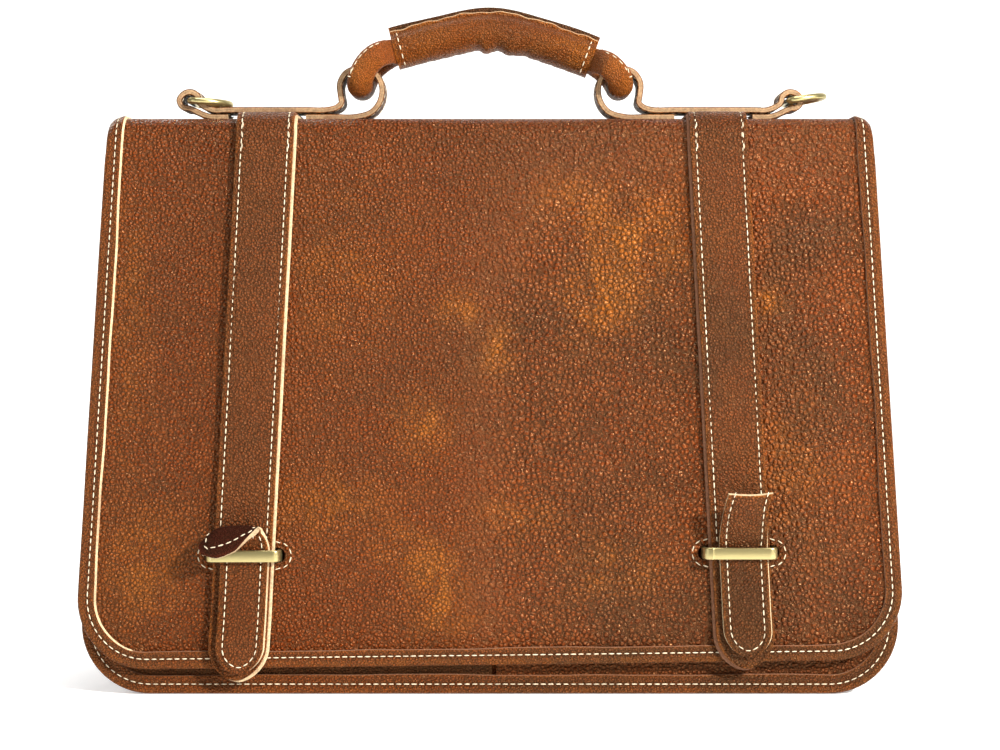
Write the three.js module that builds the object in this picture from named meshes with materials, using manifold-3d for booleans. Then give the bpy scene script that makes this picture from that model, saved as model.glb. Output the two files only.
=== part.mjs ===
// Leather document case: a tapered bag with a full front flap, two straps that close over
// brass staples, a rolled handle and two brass D rings. Millimetres, +Z up, front towards -Y.
// The origin is the middle of the bounding box, on the surface that the case stands on.

import * as THREE from 'three';
import { mergeVertices } from 'three/addons/utils/BufferGeometryUtils.js';
import Module from 'manifold-3d';

const wasm = await Module();
wasm.setup();

// Body
const baseWidth = 404.4;
const topWidth = 372;
const bodyHeight = 282;
const baseDepth = 88;
const topDepth = 48;
const cornerRadius = 34;
const clearance = 0.3;

// Leather thicknesses
const panelThickness = 1.8;
const gussetThickness = 1.5;
const pocketThickness = 1.6;
const bindingThickness = 1.2;
const flapThickness = 2.2;
const strapThickness = 3.2;
const tongueThickness = 2.4;
const anchorThickness = 2.9;
const sleeveThickness = 1.9;

// Panels, pockets and gusset
const panelTopDrop = 11;
const gussetTopDrop = 22;
const gussetCrease = 7;
const pocketHeight = 165;
const pocketGap = 2;
const pocketSplit = 2;
const bodyBindingWidth = 9.5;

// Flap
const flapOverhang = 1.7;
const flapHemHeight = 14.8;
const flapHemSkew = 0.0126;
const flapSkewFade = 120;
const flapBendRadius = 7;
const flapBackLength = 62;
const flapBindingWidth = 8.3;

// Straps, tongues and staples
const strapWidth = 29.6;
const strapSlope = 0.05;
const tongueWidth = 23;
const stapleHeight = 5.8;
const stapleThickness = 2.3;
const stapleBend = 2.6;
const slotHeight = 7.4;
const strapSides = [
  { name: 'left', way: -1, strapTop: 109.4, strapTip: 7, tongueTip: 11.2, tongueShift: 0.6, bar: 68 },
  { name: 'right', way: 1, strapTop: 111.2, strapTip: 12.7, tongueTip: 19.3, tongueShift: 1.6, bar: 69.3 },
];

// Handle
const sleeveRadius = 9;
const sleeveSpan = 99;
const sleeveMiddle = 2;
const sleeveRise = 11.9;
const sleeveCrown = 18.7;
const sleeveDrop = 4.3;
const handleHeight = 326.5;
const finFront = 1.6;
const finBack = 3.6;
const loopWidth = 13;
const loopThickness = 8;
const loopReach = 65;
const loopDepth = 30;
const loopLift = 11.2;
const loopStart = 2.6;

// Anchor strips and D rings
const anchorWidth = 20;
const anchorRingWidth = 24;
const anchorRingCentre = 64.5;
const anchorInnerEnd = 92;
const anchorOuterEnd = 131;
const ringBarReach = 149.5;
const ringWire = 3.4;
const ringInnerWidth = 23;
const ringReach = 20;
const ringEyeSlack = 0.65;
const ringOutwardTilt = 9;

// Facet counts
const cornerSteps = 7;
const bendSteps = 4;
const roundSteps = 12;
const slotSteps = 4;
const archSteps = 12;
const wireSteps = 8;

// Colours, roughness and metalness of the materials
const leatherBrown = { color: 0x7d4622, roughness: 0.5, metalness: 0 };
const leatherDark = { color: 0x5f3320, roughness: 0.55, metalness: 0 };
const leatherTan = { color: 0x96582f, roughness: 0.5, metalness: 0 };
const brass = { color: 0xb5a468, roughness: 0.35, metalness: 1 };

const { degToRad, radToDeg, lerp, clamp, smoothstep } = THREE.MathUtils;

// Closed solids from points and faces, turned outwards by their signed volume.
function closedGeometry(corners, faces) {
  let volume = 0;
  for (const [a, b, c] of faces) {
    volume += corners[a].dot(new THREE.Vector3().crossVectors(corners[b], corners[c]));
  }
  const index = volume > 0 ? faces.flat() : faces.flatMap(([a, b, c]) => [a, c, b]);
  const geometry = new THREE.BufferGeometry();
  geometry.setAttribute('position', new THREE.Float32BufferAttribute(corners.flatMap((p) => p.toArray()), 3));
  geometry.setIndex(index);
  geometry.computeVertexNormals();
  return geometry;
}

// Rings of equal point count joined in order. The outline is one ring in its own plane.
function loft(rings, outline, endless = false) {
  const count = outline.length;
  const faces = [];
  const spans = endless ? rings.length : rings.length - 1;
  for (let ring = 0; ring < spans; ring += 1) {
    const here = ring * count;
    const there = ((ring + 1) % rings.length) * count;
    for (let i = 0; i < count; i += 1) {
      const j = (i + 1) % count;
      faces.push([here + i, here + j, there + j], [here + i, there + j, there + i]);
    }
  }
  if (!endless) {
    const end = (rings.length - 1) * count;
    const clockwise = THREE.ShapeUtils.isClockWise(outline);
    for (const [a, b, c] of THREE.ShapeUtils.triangulateShape(outline, [])) {
      const [p, q, r] = clockwise ? [c, b, a] : [a, b, c];
      faces.push([r, q, p], [end + p, end + q, end + r]);
    }
  }
  return closedGeometry(rings.flat(), faces);
}

// A wall between two grids of points with the same rows and columns.
function wallBetween(outer, inner) {
  const rows = outer.length;
  const columns = outer[0].length;
  const corners = [...outer.flat(), ...inner.flat()];
  const back = rows * columns;
  const at = (row, column) => row * columns + column;
  const faces = [];
  for (let row = 0; row < rows - 1; row += 1) {
    for (let column = 0; column < columns - 1; column += 1) {
      const [a, b] = [at(row, column), at(row, column + 1)];
      const [c, d] = [at(row + 1, column + 1), at(row + 1, column)];
      faces.push([a, b, c], [a, c, d], [back + c, back + b, back + a], [back + d, back + c, back + a]);
    }
  }
  const rim = [];
  for (let column = 0; column < columns - 1; column += 1) rim.push(at(0, column));
  for (let row = 0; row < rows - 1; row += 1) rim.push(at(row, columns - 1));
  for (let column = columns - 1; column > 0; column -= 1) rim.push(at(rows - 1, column));
  for (let row = rows - 1; row > 0; row -= 1) rim.push(at(row, 0));
  rim.forEach((a, i) => {
    const b = rim[(i + 1) % rim.length];
    faces.push([b, a, back + a], [b, back + a, back + b]);
  });
  return closedGeometry(corners, faces);
}

// A wall of even thickness over a grid of points, on the side of its rows' own normals.
function wallOver(inner, thickness) {
  const rows = inner.length;
  const columns = inner[0].length;
  const outer = inner.map((line, row) => line.map((point, column) => {
    const along = inner[Math.min(row + 1, rows - 1)][column].clone();
    along.sub(inner[Math.max(row - 1, 0)][column]);
    const across = line[Math.min(column + 1, columns - 1)].clone();
    across.sub(line[Math.max(column - 1, 0)]);
    const normal = across.cross(along).normalize();
    return point.clone().addScaledVector(normal, thickness);
  }));
  return wallBetween(outer, inner);
}

function solidOf(geometry) {
  const bare = new THREE.BufferGeometry();
  bare.setAttribute('position', geometry.getAttribute('position'));
  bare.setIndex(geometry.getIndex());
  const merged = mergeVertices(bare);
  return new wasm.Manifold(new wasm.Mesh({
    numProp: 3,
    vertProperties: new Float32Array(merged.getAttribute('position').array),
    triVerts: new Uint32Array(merged.getIndex().array),
  }));
}

function geometryOf(solid) {
  const mesh = solid.getMesh();
  const geometry = new THREE.BufferGeometry();
  geometry.setAttribute('position', new THREE.Float32BufferAttribute(mesh.vertProperties, mesh.numProp));
  geometry.setIndex([...mesh.triVerts]);
  geometry.computeVertexNormals();
  return geometry;
}

function part(name, geometry, finish) {
  const mesh = new THREE.Mesh(geometry, new THREE.MeshStandardMaterial(finish));
  mesh.name = name;
  return mesh;
}

// Section outlines
function roundedBar(width, thickness, chamfer) {
  const [w, t] = [width / 2, thickness / 2];
  return [
    [-w, -t + chamfer], [-w + chamfer, -t], [w - chamfer, -t], [w, -t + chamfer],
    [w, t - chamfer], [w - chamfer, t], [-w + chamfer, t], [-w, t - chamfer],
  ].map(([x, y]) => new THREE.Vector2(x, y));
}

function oval(halfWidth, halfHeight, steps) {
  return Array.from({ length: steps }, (_, i) => {
    const turn = (2 * Math.PI * i) / steps;
    return new THREE.Vector2(halfWidth * Math.cos(turn), halfHeight * Math.sin(turn));
  });
}

// The bag's taper: half its width and half its depth at a height
const sideSlope = Math.atan((baseWidth - topWidth) / 2 / bodyHeight);
const lean = Math.atan((baseDepth - topDepth) / 2 / bodyHeight);
const bodyHalfWidth = (z) => lerp(baseWidth, topWidth, z / bodyHeight) / 2;
const bodyHalfDepth = (z) => lerp(baseDepth, topDepth, z / bodyHeight) / 2;

// Depths below the bag's outermost surface, at the front and at the back
const frontPocketFace = bindingThickness + clearance;
const frontPanelFace = frontPocketFace + pocketThickness + clearance;
const frontFlangeFace = frontPanelFace + panelThickness + clearance;
const backPanelFace = bindingThickness + clearance;
const backFlangeFace = backPanelFace + panelThickness + clearance;
const onFront = (x, z, depth) => new THREE.Vector3(x, depth - bodyHalfDepth(z), z);
const onBack = (x, z, depth) => new THREE.Vector3(x, bodyHalfDepth(z) - depth, z);

// The U shaped edge of a tapered panel, from its upper left to its upper right, with normals.
function panelEdge(halfWidth, bottom, tops, radius) {
  const centreHeight = bottom + radius;
  const centreX = halfWidth(centreHeight) - radius / Math.cos(sideSlope);
  const side = tops.map((z) => ({ x: halfWidth(z), z, nx: Math.cos(sideSlope), nz: Math.sin(sideSlope) }));
  const corner = Array.from({ length: cornerSteps + 1 }, (_, i) => {
    const turn = lerp(sideSlope, -Math.PI / 2, i / cornerSteps);
    const [nx, nz] = [Math.cos(turn), Math.sin(turn)];
    return { x: centreX + radius * nx, z: centreHeight + radius * nz, nx, nz };
  });
  const right = [...side, ...corner];
  const left = right.map(({ x, z, nx, nz }) => ({ x: -x, z, nx: -nx, nz }));
  return [...left, ...right.reverse()];
}

const inset = (edge, amount) => edge.map(({ x, z, nx, nz }) => (
  { x: x - nx * amount, z: z - nz * amount, nx, nz }
));

// A flat panel: an outline of x and z between two depths.
function slab(points, place, depth, thickness) {
  const outline = points.map(({ x, z }) => new THREE.Vector2(x, z));
  const rings = [depth, depth + thickness].map((level) => points.map(({ x, z }) => place(x, z, level)));
  return loft(rings, outline);
}

// A folded edging swept along an edge: section x runs inwards, section y is the depth.
function edging(edge, place, section) {
  const rings = edge.map(({ x, z, nx, nz }) => section.map((p) => place(x - nx * p.x, z - nz * p.x, p.y)));
  return loft(rings, section);
}

function channel(nearDepth, farDepth, nearWidth, farWidth) {
  const t = bindingThickness;
  return [
    [0, nearDepth], [nearWidth, nearDepth], [nearWidth, nearDepth + t], [t, nearDepth + t],
    [t, farDepth - t], [farWidth, farDepth - t], [farWidth, farDepth], [0, farDepth],
  ].map(([x, y]) => new THREE.Vector2(x, y));
}

const panelTop = bodyHeight - panelTopDrop;
const bodyEdge = panelEdge(bodyHalfWidth, 0, [panelTop], cornerRadius);
const panelInset = bindingThickness + clearance;
const panelOutline = inset(bodyEdge, panelInset);

// Front and back panels
const frontSlab = slab(panelOutline, onFront, frontPanelFace, panelThickness);
const backSlab = slab(panelOutline, onBack, backPanelFace, panelThickness);
const frontPanel = part('front_panel', frontSlab, leatherBrown);
const backPanel = part('back_panel', backSlab, leatherBrown);

// Two flat pockets side by side on the front, caught in the front binding
function pocket(way) {
  const seamX = pocketSplit + (way * pocketGap) / 2;
  const edge = inset(panelEdge(bodyHalfWidth, 0, [pocketHeight], cornerRadius), panelInset);
  const half = edge.filter(({ x }) => Math.sign(x) === way);
  const seamBottom = { x: seamX, z: panelInset };
  const seamTop = { x: seamX, z: Math.max(...half.map(({ z }) => z)) };
  const seam = way < 0 ? [seamBottom, seamTop] : [seamTop, seamBottom];
  return slab([...half, ...seam], onFront, frontPocketFace, pocketThickness);
}
const pocketLeft = part('pocket_left', pocket(-1), leatherDark);
const pocketRight = part('pocket_right', pocket(1), leatherBrown);

// Bindings: leather folded round the edge of a panel and the gusset's flange
const flangeLength = 5.5;
const flangeBackLeg = flangeLength + panelInset - 2 * clearance - bindingThickness;
const frontChannelDepth = frontFlangeFace + gussetThickness + clearance + bindingThickness;
const backChannelDepth = backFlangeFace + gussetThickness + clearance + bindingThickness;
const frontChannel = channel(0, frontChannelDepth, bodyBindingWidth, flangeBackLeg);
const backChannel = channel(0, backChannelDepth, bodyBindingWidth, flangeBackLeg);
const frontBinding = part('front_binding', edging(bodyEdge, onFront, frontChannel), leatherBrown);
const backBinding = part('back_binding', edging(bodyEdge, onBack, backChannel), leatherBrown);

// Gusset: one wall round both sides and the bottom, creased inwards up its sides, with a
// flange turned outwards at each panel.
// Columns: how far in from the panel's edge, the share of the way from the front panel to the
// back one, the share of the side crease, and the flange's thickness at each end.
const wallInset = panelInset + flangeLength;
const wallInner = wallInset + gussetThickness;
const gussetSection = [
  { inwards: panelInset, share: 0, crease: 0, flange: 0 },
  { inwards: wallInner, share: 0, crease: 0, flange: 0 },
  { inwards: wallInner, share: 0.28, crease: 0.55, flange: 0 },
  { inwards: wallInner, share: 0.5, crease: 1, flange: 0 },
  { inwards: wallInner, share: 0.72, crease: 0.55, flange: 0 },
  { inwards: wallInner, share: 1, crease: 0, flange: 0 },
  { inwards: panelInset, share: 1, crease: 0, flange: 0 },
  { inwards: panelInset, share: 1, crease: 0, flange: -1 },
  { inwards: wallInset, share: 1, crease: 0, flange: -1 },
  { inwards: wallInset, share: 0.72, crease: 0.55, flange: 0 },
  { inwards: wallInset, share: 0.5, crease: 1, flange: 0 },
  { inwards: wallInset, share: 0.28, crease: 0.55, flange: 0 },
  { inwards: wallInset, share: 0, crease: 0, flange: 1 },
  { inwards: panelInset, share: 0, crease: 0, flange: 1 },
];

function gusset() {
  const top = bodyHeight - gussetTopDrop;
  const edge = panelEdge(bodyHalfWidth, 0, [top, lerp(top, cornerRadius, 0.5)], cornerRadius);
  const rows = edge.map(({ x, z, nx, nz }) => {
    const rise = clamp((z - cornerRadius) / (top - cornerRadius), 0, 1);
    return gussetSection.map(({ inwards, share, crease, flange }) => {
      const depthIn = inwards + crease * gussetCrease * rise;
      const height = z - nz * depthIn;
      const front = frontFlangeFace - bodyHalfDepth(height);
      const back = bodyHalfDepth(height) - backFlangeFace;
      return new THREE.Vector3(x - nx * depthIn, lerp(front, back, share) + flange * gussetThickness, height);
    });
  });
  const outline = rows[0].map((p) => new THREE.Vector2(p.y, p.x));
  return loft(rows, outline);
}
const gussetPart = part('gusset', gusset(), leatherBrown);

// The flap's inner face, followed from the hem up the front, over the top and down the back.
// On the front the way along it is the height, past the first bend it is the length.
const flapStandOff = bindingThickness + 2 * clearance;
const flapTopInner = bodyHeight - flapThickness;
const bendHeight = flapTopInner - flapBendRadius;
const bendTurn = Math.PI / 2 - lean;
const bendLength = flapBendRadius * bendTurn;
const bendDepth = bodyHalfDepth(bendHeight) + flapStandOff - flapBendRadius / Math.cos(lean);
const bendStart = bendHeight + flapBendRadius * Math.sin(lean);
const topStart = bendStart + bendLength;
const topEnd = topStart + 2 * bendDepth;
const backStart = topEnd + bendLength;
const flapEnd = backStart + flapBackLength;

function flapLine(s) {
  if (s <= bendStart) {
    return { y: -bodyHalfDepth(s) - flapStandOff, z: s, ny: -Math.cos(lean), nz: Math.sin(lean) };
  }
  if (s <= topStart) {
    const turn = lean + (s - bendStart) / flapBendRadius;
    const [ny, nz] = [-Math.cos(turn), Math.sin(turn)];
    return { y: -bendDepth + flapBendRadius * ny, z: bendHeight + flapBendRadius * nz, ny, nz };
  }
  if (s <= topEnd) return { y: s - topStart - bendDepth, z: flapTopInner, ny: 0, nz: 1 };
  if (s <= backStart) {
    const turn = (s - topEnd) / flapBendRadius;
    const [ny, nz] = [Math.sin(turn), Math.cos(turn)];
    return { y: bendDepth + flapBendRadius * ny, z: bendHeight + flapBendRadius * nz, ny, nz };
  }
  const z = bendStart - (s - backStart) * Math.cos(lean);
  return { y: bodyHalfDepth(z) + flapStandOff, z, ny: Math.cos(lean), nz: Math.sin(lean) };
}

function onFlap(x, s, rise) {
  const { y, z, ny, nz } = flapLine(s);
  return new THREE.Vector3(x, y + ny * rise, z + nz * rise);
}

// The hem hangs a little lower on the left than on the right.
function onSkewedFlap(x, s, rise) {
  const skew = flapHemSkew * x * clamp(1 - (s - flapHemHeight) / flapSkewFade, 0, 1);
  return onFlap(x, s + skew, rise);
}

const flapHalfWidth = (s) => bodyHalfWidth(flapLine(s).z) + flapOverhang;
const steps = (from, to, count) => Array.from({ length: count }, (_, i) => lerp(from, to, (i + 1) / count));
const overTop = [
  bendStart, ...steps(bendStart, topStart, bendSteps), topEnd,
  ...steps(topEnd, backStart, bendSteps), flapEnd,
];
const fadeEnd = flapHemHeight + flapSkewFade;
const flapSideRows = [...overTop].reverse().concat([fadeEnd]);
const flapEdge = panelEdge(flapHalfWidth, flapHemHeight, flapSideRows, cornerRadius);

// Slots in the flap for the staples
const strapCentre = ({ way, strapTop }, s) => way * (strapTop + strapSlope * Math.max(bendStart - s, 0));
const stapleInnerWidth = strapWidth + 4 * clearance + 0.8;
const stapleWidth = stapleInnerWidth + 2 * stapleThickness;
const slotRadius = slotHeight / 2;
const slotEnd = slotRadius - Math.sqrt(slotRadius ** 2 - (stapleHeight / 2 + clearance) ** 2);
const slotWidth = stapleWidth + 2 * slotEnd;

function slotCutter(side) {
  const radius = slotRadius;
  const reach = slotWidth / 2 - radius;
  const shape = new THREE.Shape();
  shape.absarc(reach, 0, radius, -Math.PI / 2, Math.PI / 2, false);
  shape.absarc(-reach, 0, radius, Math.PI / 2, 1.5 * Math.PI, false);
  const centre = strapCentre(side, side.bar);
  const outline = shape.getPoints(slotSteps).slice(0, -1);
  const points = outline.map(({ x, y }) => ({ x: x + centre, z: y + side.bar }));
  const overrun = 3 * clearance;
  return slab(points, onFlap, -overrun, flapThickness + 2 * overrun);
}

function flapSheet() {
  const rows = inset(flapEdge, panelInset).slice(0, flapEdge.length / 2);
  const shares = [-1, -0.5, 0, 0.5, 1];
  const grid = (rise) => rows.map(({ x, z }) => shares.map((share) => onSkewedFlap(-share * x, z, rise)));
  const sheet = solidOf(wallBetween(grid(flapThickness), grid(0)));
  const cut = strapSides.reduce((solid, side) => solid.subtract(solidOf(slotCutter(side))), sheet);
  return geometryOf(cut);
}
const flap = part('flap', flapSheet(), leatherBrown);

const flapChannelFar = flapThickness + clearance + bindingThickness;
const flapChannelNear = -clearance - bindingThickness;
const flapChannel = channel(flapChannelNear, flapChannelFar, flapBindingWidth, flapBindingWidth);
const flapBinding = part('flap_binding', edging(flapEdge, onSkewedFlap, flapChannel), leatherDark);

// Straps: down the flap's front, free over the binding, and over the top to the flap's end
const strapLift = flapThickness + clearance;
const hemLift = bindingThickness + clearance;
const stepStart = flapHemHeight + flapBindingWidth + 3;
const stepEnd = stepStart + 12;
const stepRows = [stepStart, ...steps(stepStart, stepEnd, 3)];
const strapRise = (s) => strapLift + hemLift * (1 - smoothstep(s, stepStart, stepEnd));

function tipShare(distance, length) {
  const t = clamp(distance / length, 0, 1);
  return Math.max(Math.pow(1 - Math.pow(1 - t, 1.9), 0.56), 0.12);
}

function strap(side) {
  const rise = [0, 0.02, 0.07, 0.16, 0.3, 0.48, 0.7, 1];
  const tipLength = strapWidth * 0.56;
  const tip = rise.map((share) => side.strapTip + share * tipLength);
  const shaft = [...stepRows, side.bar, ...overTop].filter((s) => s > tip[tip.length - 1] + 1);
  const stations = [...tip, ...shaft];
  const section = roundedBar(strapWidth, strapThickness, 0.6);
  const rings = stations.map((s) => {
    const share = tipShare(s - side.strapTip, tipLength);
    const centre = strapCentre(side, s);
    return section.map((p) => onFlap(centre + p.x * share, s, strapRise(s) + strapThickness / 2 + p.y));
  });
  return loft(rings, section);
}

// Tongues: short straps on the lower strap, passed up under the staple. The free end stands
// out on the right and is folded forwards on the left. Columns are the left edge, the middle
// and the right edge: sideways, upwards and outwards, in shares of the tongue's width.
const freeEnds = {
  left: [
    { left: [-0.61, 0.17, 0.1], middle: [-0.04, 0.3, 0.06], right: [0.46, 0.2, 0.03] },
    { left: [-0.87, 0.24, 0.28], middle: [-0.24, 0.5, 0.2], right: [0.4, 0.38, 0.1] },
    { left: [-0.91, 0.11, 0.46], middle: [-0.28, 0.36, 0.43], right: [0.34, 0.47, 0.22] },
    { left: [-0.85, -0.02, 0.56], middle: [-0.26, 0.02, 0.6], right: [0.28, 0.5, 0.34] },
  ],
  right: [
    { left: [-0.56, 0.3, 0.12], middle: [-0.06, 0.3, 0.14], right: [0.44, 0.3, 0.12] },
    { left: [-0.54, 0.62, 0.28], middle: [-0.06, 0.62, 0.3], right: [0.42, 0.62, 0.26] },
    { left: [-0.46, 0.95, 0.38], middle: [0.02, 0.95, 0.38], right: [0.5, 0.95, 0.34] },
    { left: [-0.38, 1.22, 0.4], middle: [0.1, 1.2, 0.36], right: [0.6, 1.24, 0.34] },
  ],
};

function tongue(side) {
  const columns = [-1, -0.5, 0, 0.5, 1];
  const tipLength = tongueWidth * 0.56;
  const barTop = side.bar + stapleHeight / 2;
  const centre = (s) => strapCentre(side, s) + side.tongueShift;
  const back = (s) => strapRise(s) + strapThickness + clearance;
  const tip = [0, 0.05, 0.16, 0.34, 0.62, 1].map((share) => side.tongueTip + share * tipLength);
  const shaft = [...stepRows, side.bar, barTop + clearance].filter((s) => s > tip[tip.length - 1] + 1);
  const lying = [...tip, ...shaft];
  const rows = lying.map((s) => columns.map((column) => {
    const half = (tongueWidth / 2) * tipShare(s - side.tongueTip, tipLength);
    return onFlap(centre(s) + column * half, s, back(s));
  }));
  const start = rows[rows.length - 1];
  const sections = freeEnds[side.name].map(({ left, middle, right }) => {
    const [a, b, c] = [left, middle, right].map(([sideways, up, out]) => new THREE.Vector3(
      centre(barTop) + sideways * tongueWidth,
      start[2].y - out * tongueWidth,
      start[2].z + up * tongueWidth,
    ));
    const control = b.clone().multiplyScalar(2).sub(a.clone().add(c).multiplyScalar(0.5));
    const across = new THREE.QuadraticBezierCurve3(a, control, c);
    return columns.map((column) => across.getPoint((column + 1) / 2));
  });
  const lines = columns.map((_, i) => new THREE.CatmullRomCurve3(
    [rows[rows.length - 2][i], start[i], ...sections.map((section) => section[i])],
    false,
    'centripetal',
  ));
  const samples = steps(1 / (sections.length + 1), 1, 2 * sections.length);
  const free = samples.map((t) => lines.map((line) => line.getPoint(t)));
  return wallOver([...rows, ...free], tongueThickness);
}

// Staples: flat brass bent back through the flap's slot onto the pocket
function staple(side) {
  const centre = strapCentre(side, side.bar);
  const pocketSurface = -flapStandOff - frontPocketFace;
  const back = pocketSurface + clearance;
  const front = strapLift + strapThickness + clearance + tongueThickness + clearance + stapleThickness / 2;
  const half = stapleWidth / 2 - stapleThickness / 2;
  const path = [{ x: half, rise: back, turn: 0 }];
  for (let i = 0; i <= bendSteps; i += 1) {
    const turn = (Math.PI / 2) * (i / bendSteps);
    const x = half - stapleBend * (1 - Math.cos(turn));
    path.push({ x, rise: front - stapleBend * (1 - Math.sin(turn)), turn });
  }
  const mirrored = path.map(({ x, rise, turn }) => ({ x: -x, rise, turn: Math.PI - turn })).reverse();
  const section = roundedBar(stapleThickness, stapleHeight, 0.7);
  const rings = [...path, ...mirrored].map(({ x, rise, turn }) => section.map((p) => onFlap(
    centre + x + p.x * Math.cos(turn),
    side.bar + p.y,
    rise + p.x * Math.sin(turn),
  )));
  return loft(rings, section);
}

const closures = strapSides.flatMap((side) => [
  part(`strap_${side.name}`, strap(side), leatherBrown),
  part(`tongue_${side.name}`, tongue(side), leatherBrown),
  part(`staple_${side.name}`, staple(side), brass),
]);

// Handle: the roll's line in the middle plane rises to a bend in its middle and is tilted to
// the right. The distance along it is measured sideways from the middle.
const archHalf = sleeveSpan / 2;
const archPitch = sleeveRise / (Math.hypot(archHalf, sleeveCrown) - sleeveCrown);
const archTilt = Math.asin(sleeveDrop / sleeveSpan);
function archFrame(x) {
  const z = -archPitch * (Math.hypot(x, sleeveCrown) - sleeveCrown);
  const slope = (-archPitch * x) / Math.hypot(x, sleeveCrown);
  const tilt = new THREE.Matrix4().makeRotationY(archTilt);
  const up = new THREE.Vector3(-slope, 0, 1).normalize().applyMatrix4(tilt);
  const origin = new THREE.Vector3(x, 0, z).applyMatrix4(tilt);
  return { origin: origin.add(new THREE.Vector3(sleeveMiddle, 0, handleHeight)), up };
}

function alongArch(section, places) {
  const across = new THREE.Vector3(0, -1, 0);
  const rings = places.map((x) => {
    const { origin, up } = archFrame(x);
    return section.map((p) => origin.clone().addScaledVector(across, p.x).addScaledVector(up, p.y));
  });
  return loft(rings, section);
}

const archPlaces = Array.from({ length: archSteps + 1 }, (_, i) => lerp(-archHalf, archHalf, i / archSteps));
const coreRadius = sleeveRadius - sleeveThickness - clearance;

// A loop at each end of the roll: two legs, front and back, joined through the anchor's ring.
// The legs' places are shares of their length and of the distance between them.
const legPlaces = [
  { along: 0, apart: 0.62 },
  { along: 0.12, apart: 0.84 },
  { along: 0.26, apart: 1 },
  { along: 0.5, apart: 1 },
  { along: 0.75, apart: 1 },
  { along: 0.94, apart: 1 },
];
const loopBottom = bodyHeight + loopLift;
function endLoop(way) {
  const { origin, up } = archFrame(way * (archHalf + loopStart));
  const outwards = new THREE.Vector3(way * up.z, 0, -way * up.x);
  const end = new THREE.Vector3(way * loopReach, 0, loopBottom + loopWidth / 2);
  const bend = origin.clone().addScaledVector(outwards, Math.abs(end.x - origin.x) * 0.85);
  const leg = new THREE.QuadraticBezierCurve3(origin, bend, end);
  const side = loopDepth / 2;
  const corner = loopWidth / 2;
  const legs = legPlaces.map(({ along, apart }) => (
    { at: leg.getPoint(along), run: leg.getTangent(along), y: -side * apart, turn: 0, rise: 0 }
  ));
  const bends = [0.25, 0.5, 0.75, 1].map((share) => {
    const turn = (share * Math.PI) / 2;
    const y = corner * (1 - Math.cos(turn)) - side;
    return { at: end, run: leg.getTangent(1), y, turn, rise: corner * (Math.sin(turn) - 1) };
  });
  const front = [...legs, ...bends];
  const back = front.map((place) => ({ ...place, y: -place.y, turn: Math.PI - place.turn })).reverse();
  const section = oval(1, 1, roundSteps);
  const rings = [...front, ...back].map(({ at, run, y, turn, rise }) => {
    const wide = new THREE.Vector3(run.z, 0, -run.x).multiplyScalar(loopWidth / 2);
    const thickness = lerp(loopThickness, loopWidth, Math.sin(turn)) / 2;
    const thin = new THREE.Vector3(0, -Math.cos(turn), 0).addScaledVector(run, Math.sin(turn));
    const middle = at.clone().setY(y).addScaledVector(run, rise);
    thin.multiplyScalar(thickness);
    return section.map((p) => middle.clone().addScaledVector(wide, p.x).addScaledVector(thin, p.y));
  });
  return loft(rings, section);
}

function handleCore() {
  const ends = [-1, 1].map((way) => way * (archHalf + loopStart));
  const roll = alongArch(oval(coreRadius, coreRadius, roundSteps), [ends[0], ...archPlaces, ends[1]]);
  const solid = [-1, 1].reduce((sum, way) => sum.add(solidOf(endLoop(way))), solidOf(roll));
  return geometryOf(solid);
}
const core = part('handle_core', handleCore(), leatherTan);

// The sleeve: one sheet wrapped round the roll, its two edges sewn up into a fin on top
function sleeveSection() {
  const slit = clearance / 2;
  const side = slit + sleeveThickness;
  const inner = sleeveRadius - sleeveThickness;
  const arcSteps = roundSteps + 2;
  const arc = (radius, halfGap) => {
    const start = Math.acos(halfGap / radius);
    return Array.from({ length: arcSteps + 1 }, (_, i) => {
      const turn = lerp(start, -Math.PI - start, i / arcSteps);
      return new THREE.Vector2(radius * Math.cos(turn), radius * Math.sin(turn));
    });
  };
  const frontTop = sleeveRadius + finFront;
  const backTop = sleeveRadius + finBack;
  return [
    new THREE.Vector2(slit, frontTop), new THREE.Vector2(side, frontTop),
    ...arc(sleeveRadius, side),
    new THREE.Vector2(-side, backTop), new THREE.Vector2(-slit, backTop),
    ...arc(inner, slit).reverse(),
  ];
}
const sleeve = part('handle_sleeve', alongArch(sleeveSection(), archPlaces), leatherBrown);

// Anchor strips: each a doubled band on the flap's top, over the strap, with a ring for the
// handle at its inner end and an eye for the D ring at its outer end.
const layer = bodyHeight + clearance + anchorThickness / 2;
const upperLayer = bodyHeight + 2 * clearance + strapThickness + anchorThickness / 2;
const anchorRingTop = loopBottom + loopWidth + clearance + anchorThickness / 2;
const barHeight = upperLayer + anchorThickness / 2 + clearance + ringWire / 2 + 1;

// The handle's ring, followed from the lower layer round to the upper one. Sideways in shares
// of half the ring's width, outwards positive, and upwards in shares of its height.
const handleRingPath = [
  { side: 1.3, up: 0 },
  { side: 0.3, up: 0 },
  { side: -0.5, up: 0.1 },
  { side: -0.9, up: 0.32 },
  { side: -1, up: 0.6 },
  { side: -0.72, up: 0.88 },
  { side: -0.05, up: 1 },
  { side: 0.66, up: 0.92 },
  { side: 0.99, up: 0.7 },
  { side: 0.97, up: 0.46 },
  { side: 0.92, up: 0.3 },
];

// The D ring's eye round its bar, in shares of the eye's own radius.
const eyePath = [
  { side: -1.2, up: -0.3 },
  { side: -0.95, up: 0.6 },
  { side: -0.2, up: 1.15 },
  { side: 0.8, up: 1 },
  { side: 1.5, up: 0.1 },
  { side: 1.05, up: -0.8 },
  { side: 0.1, up: -1 },
];

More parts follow.
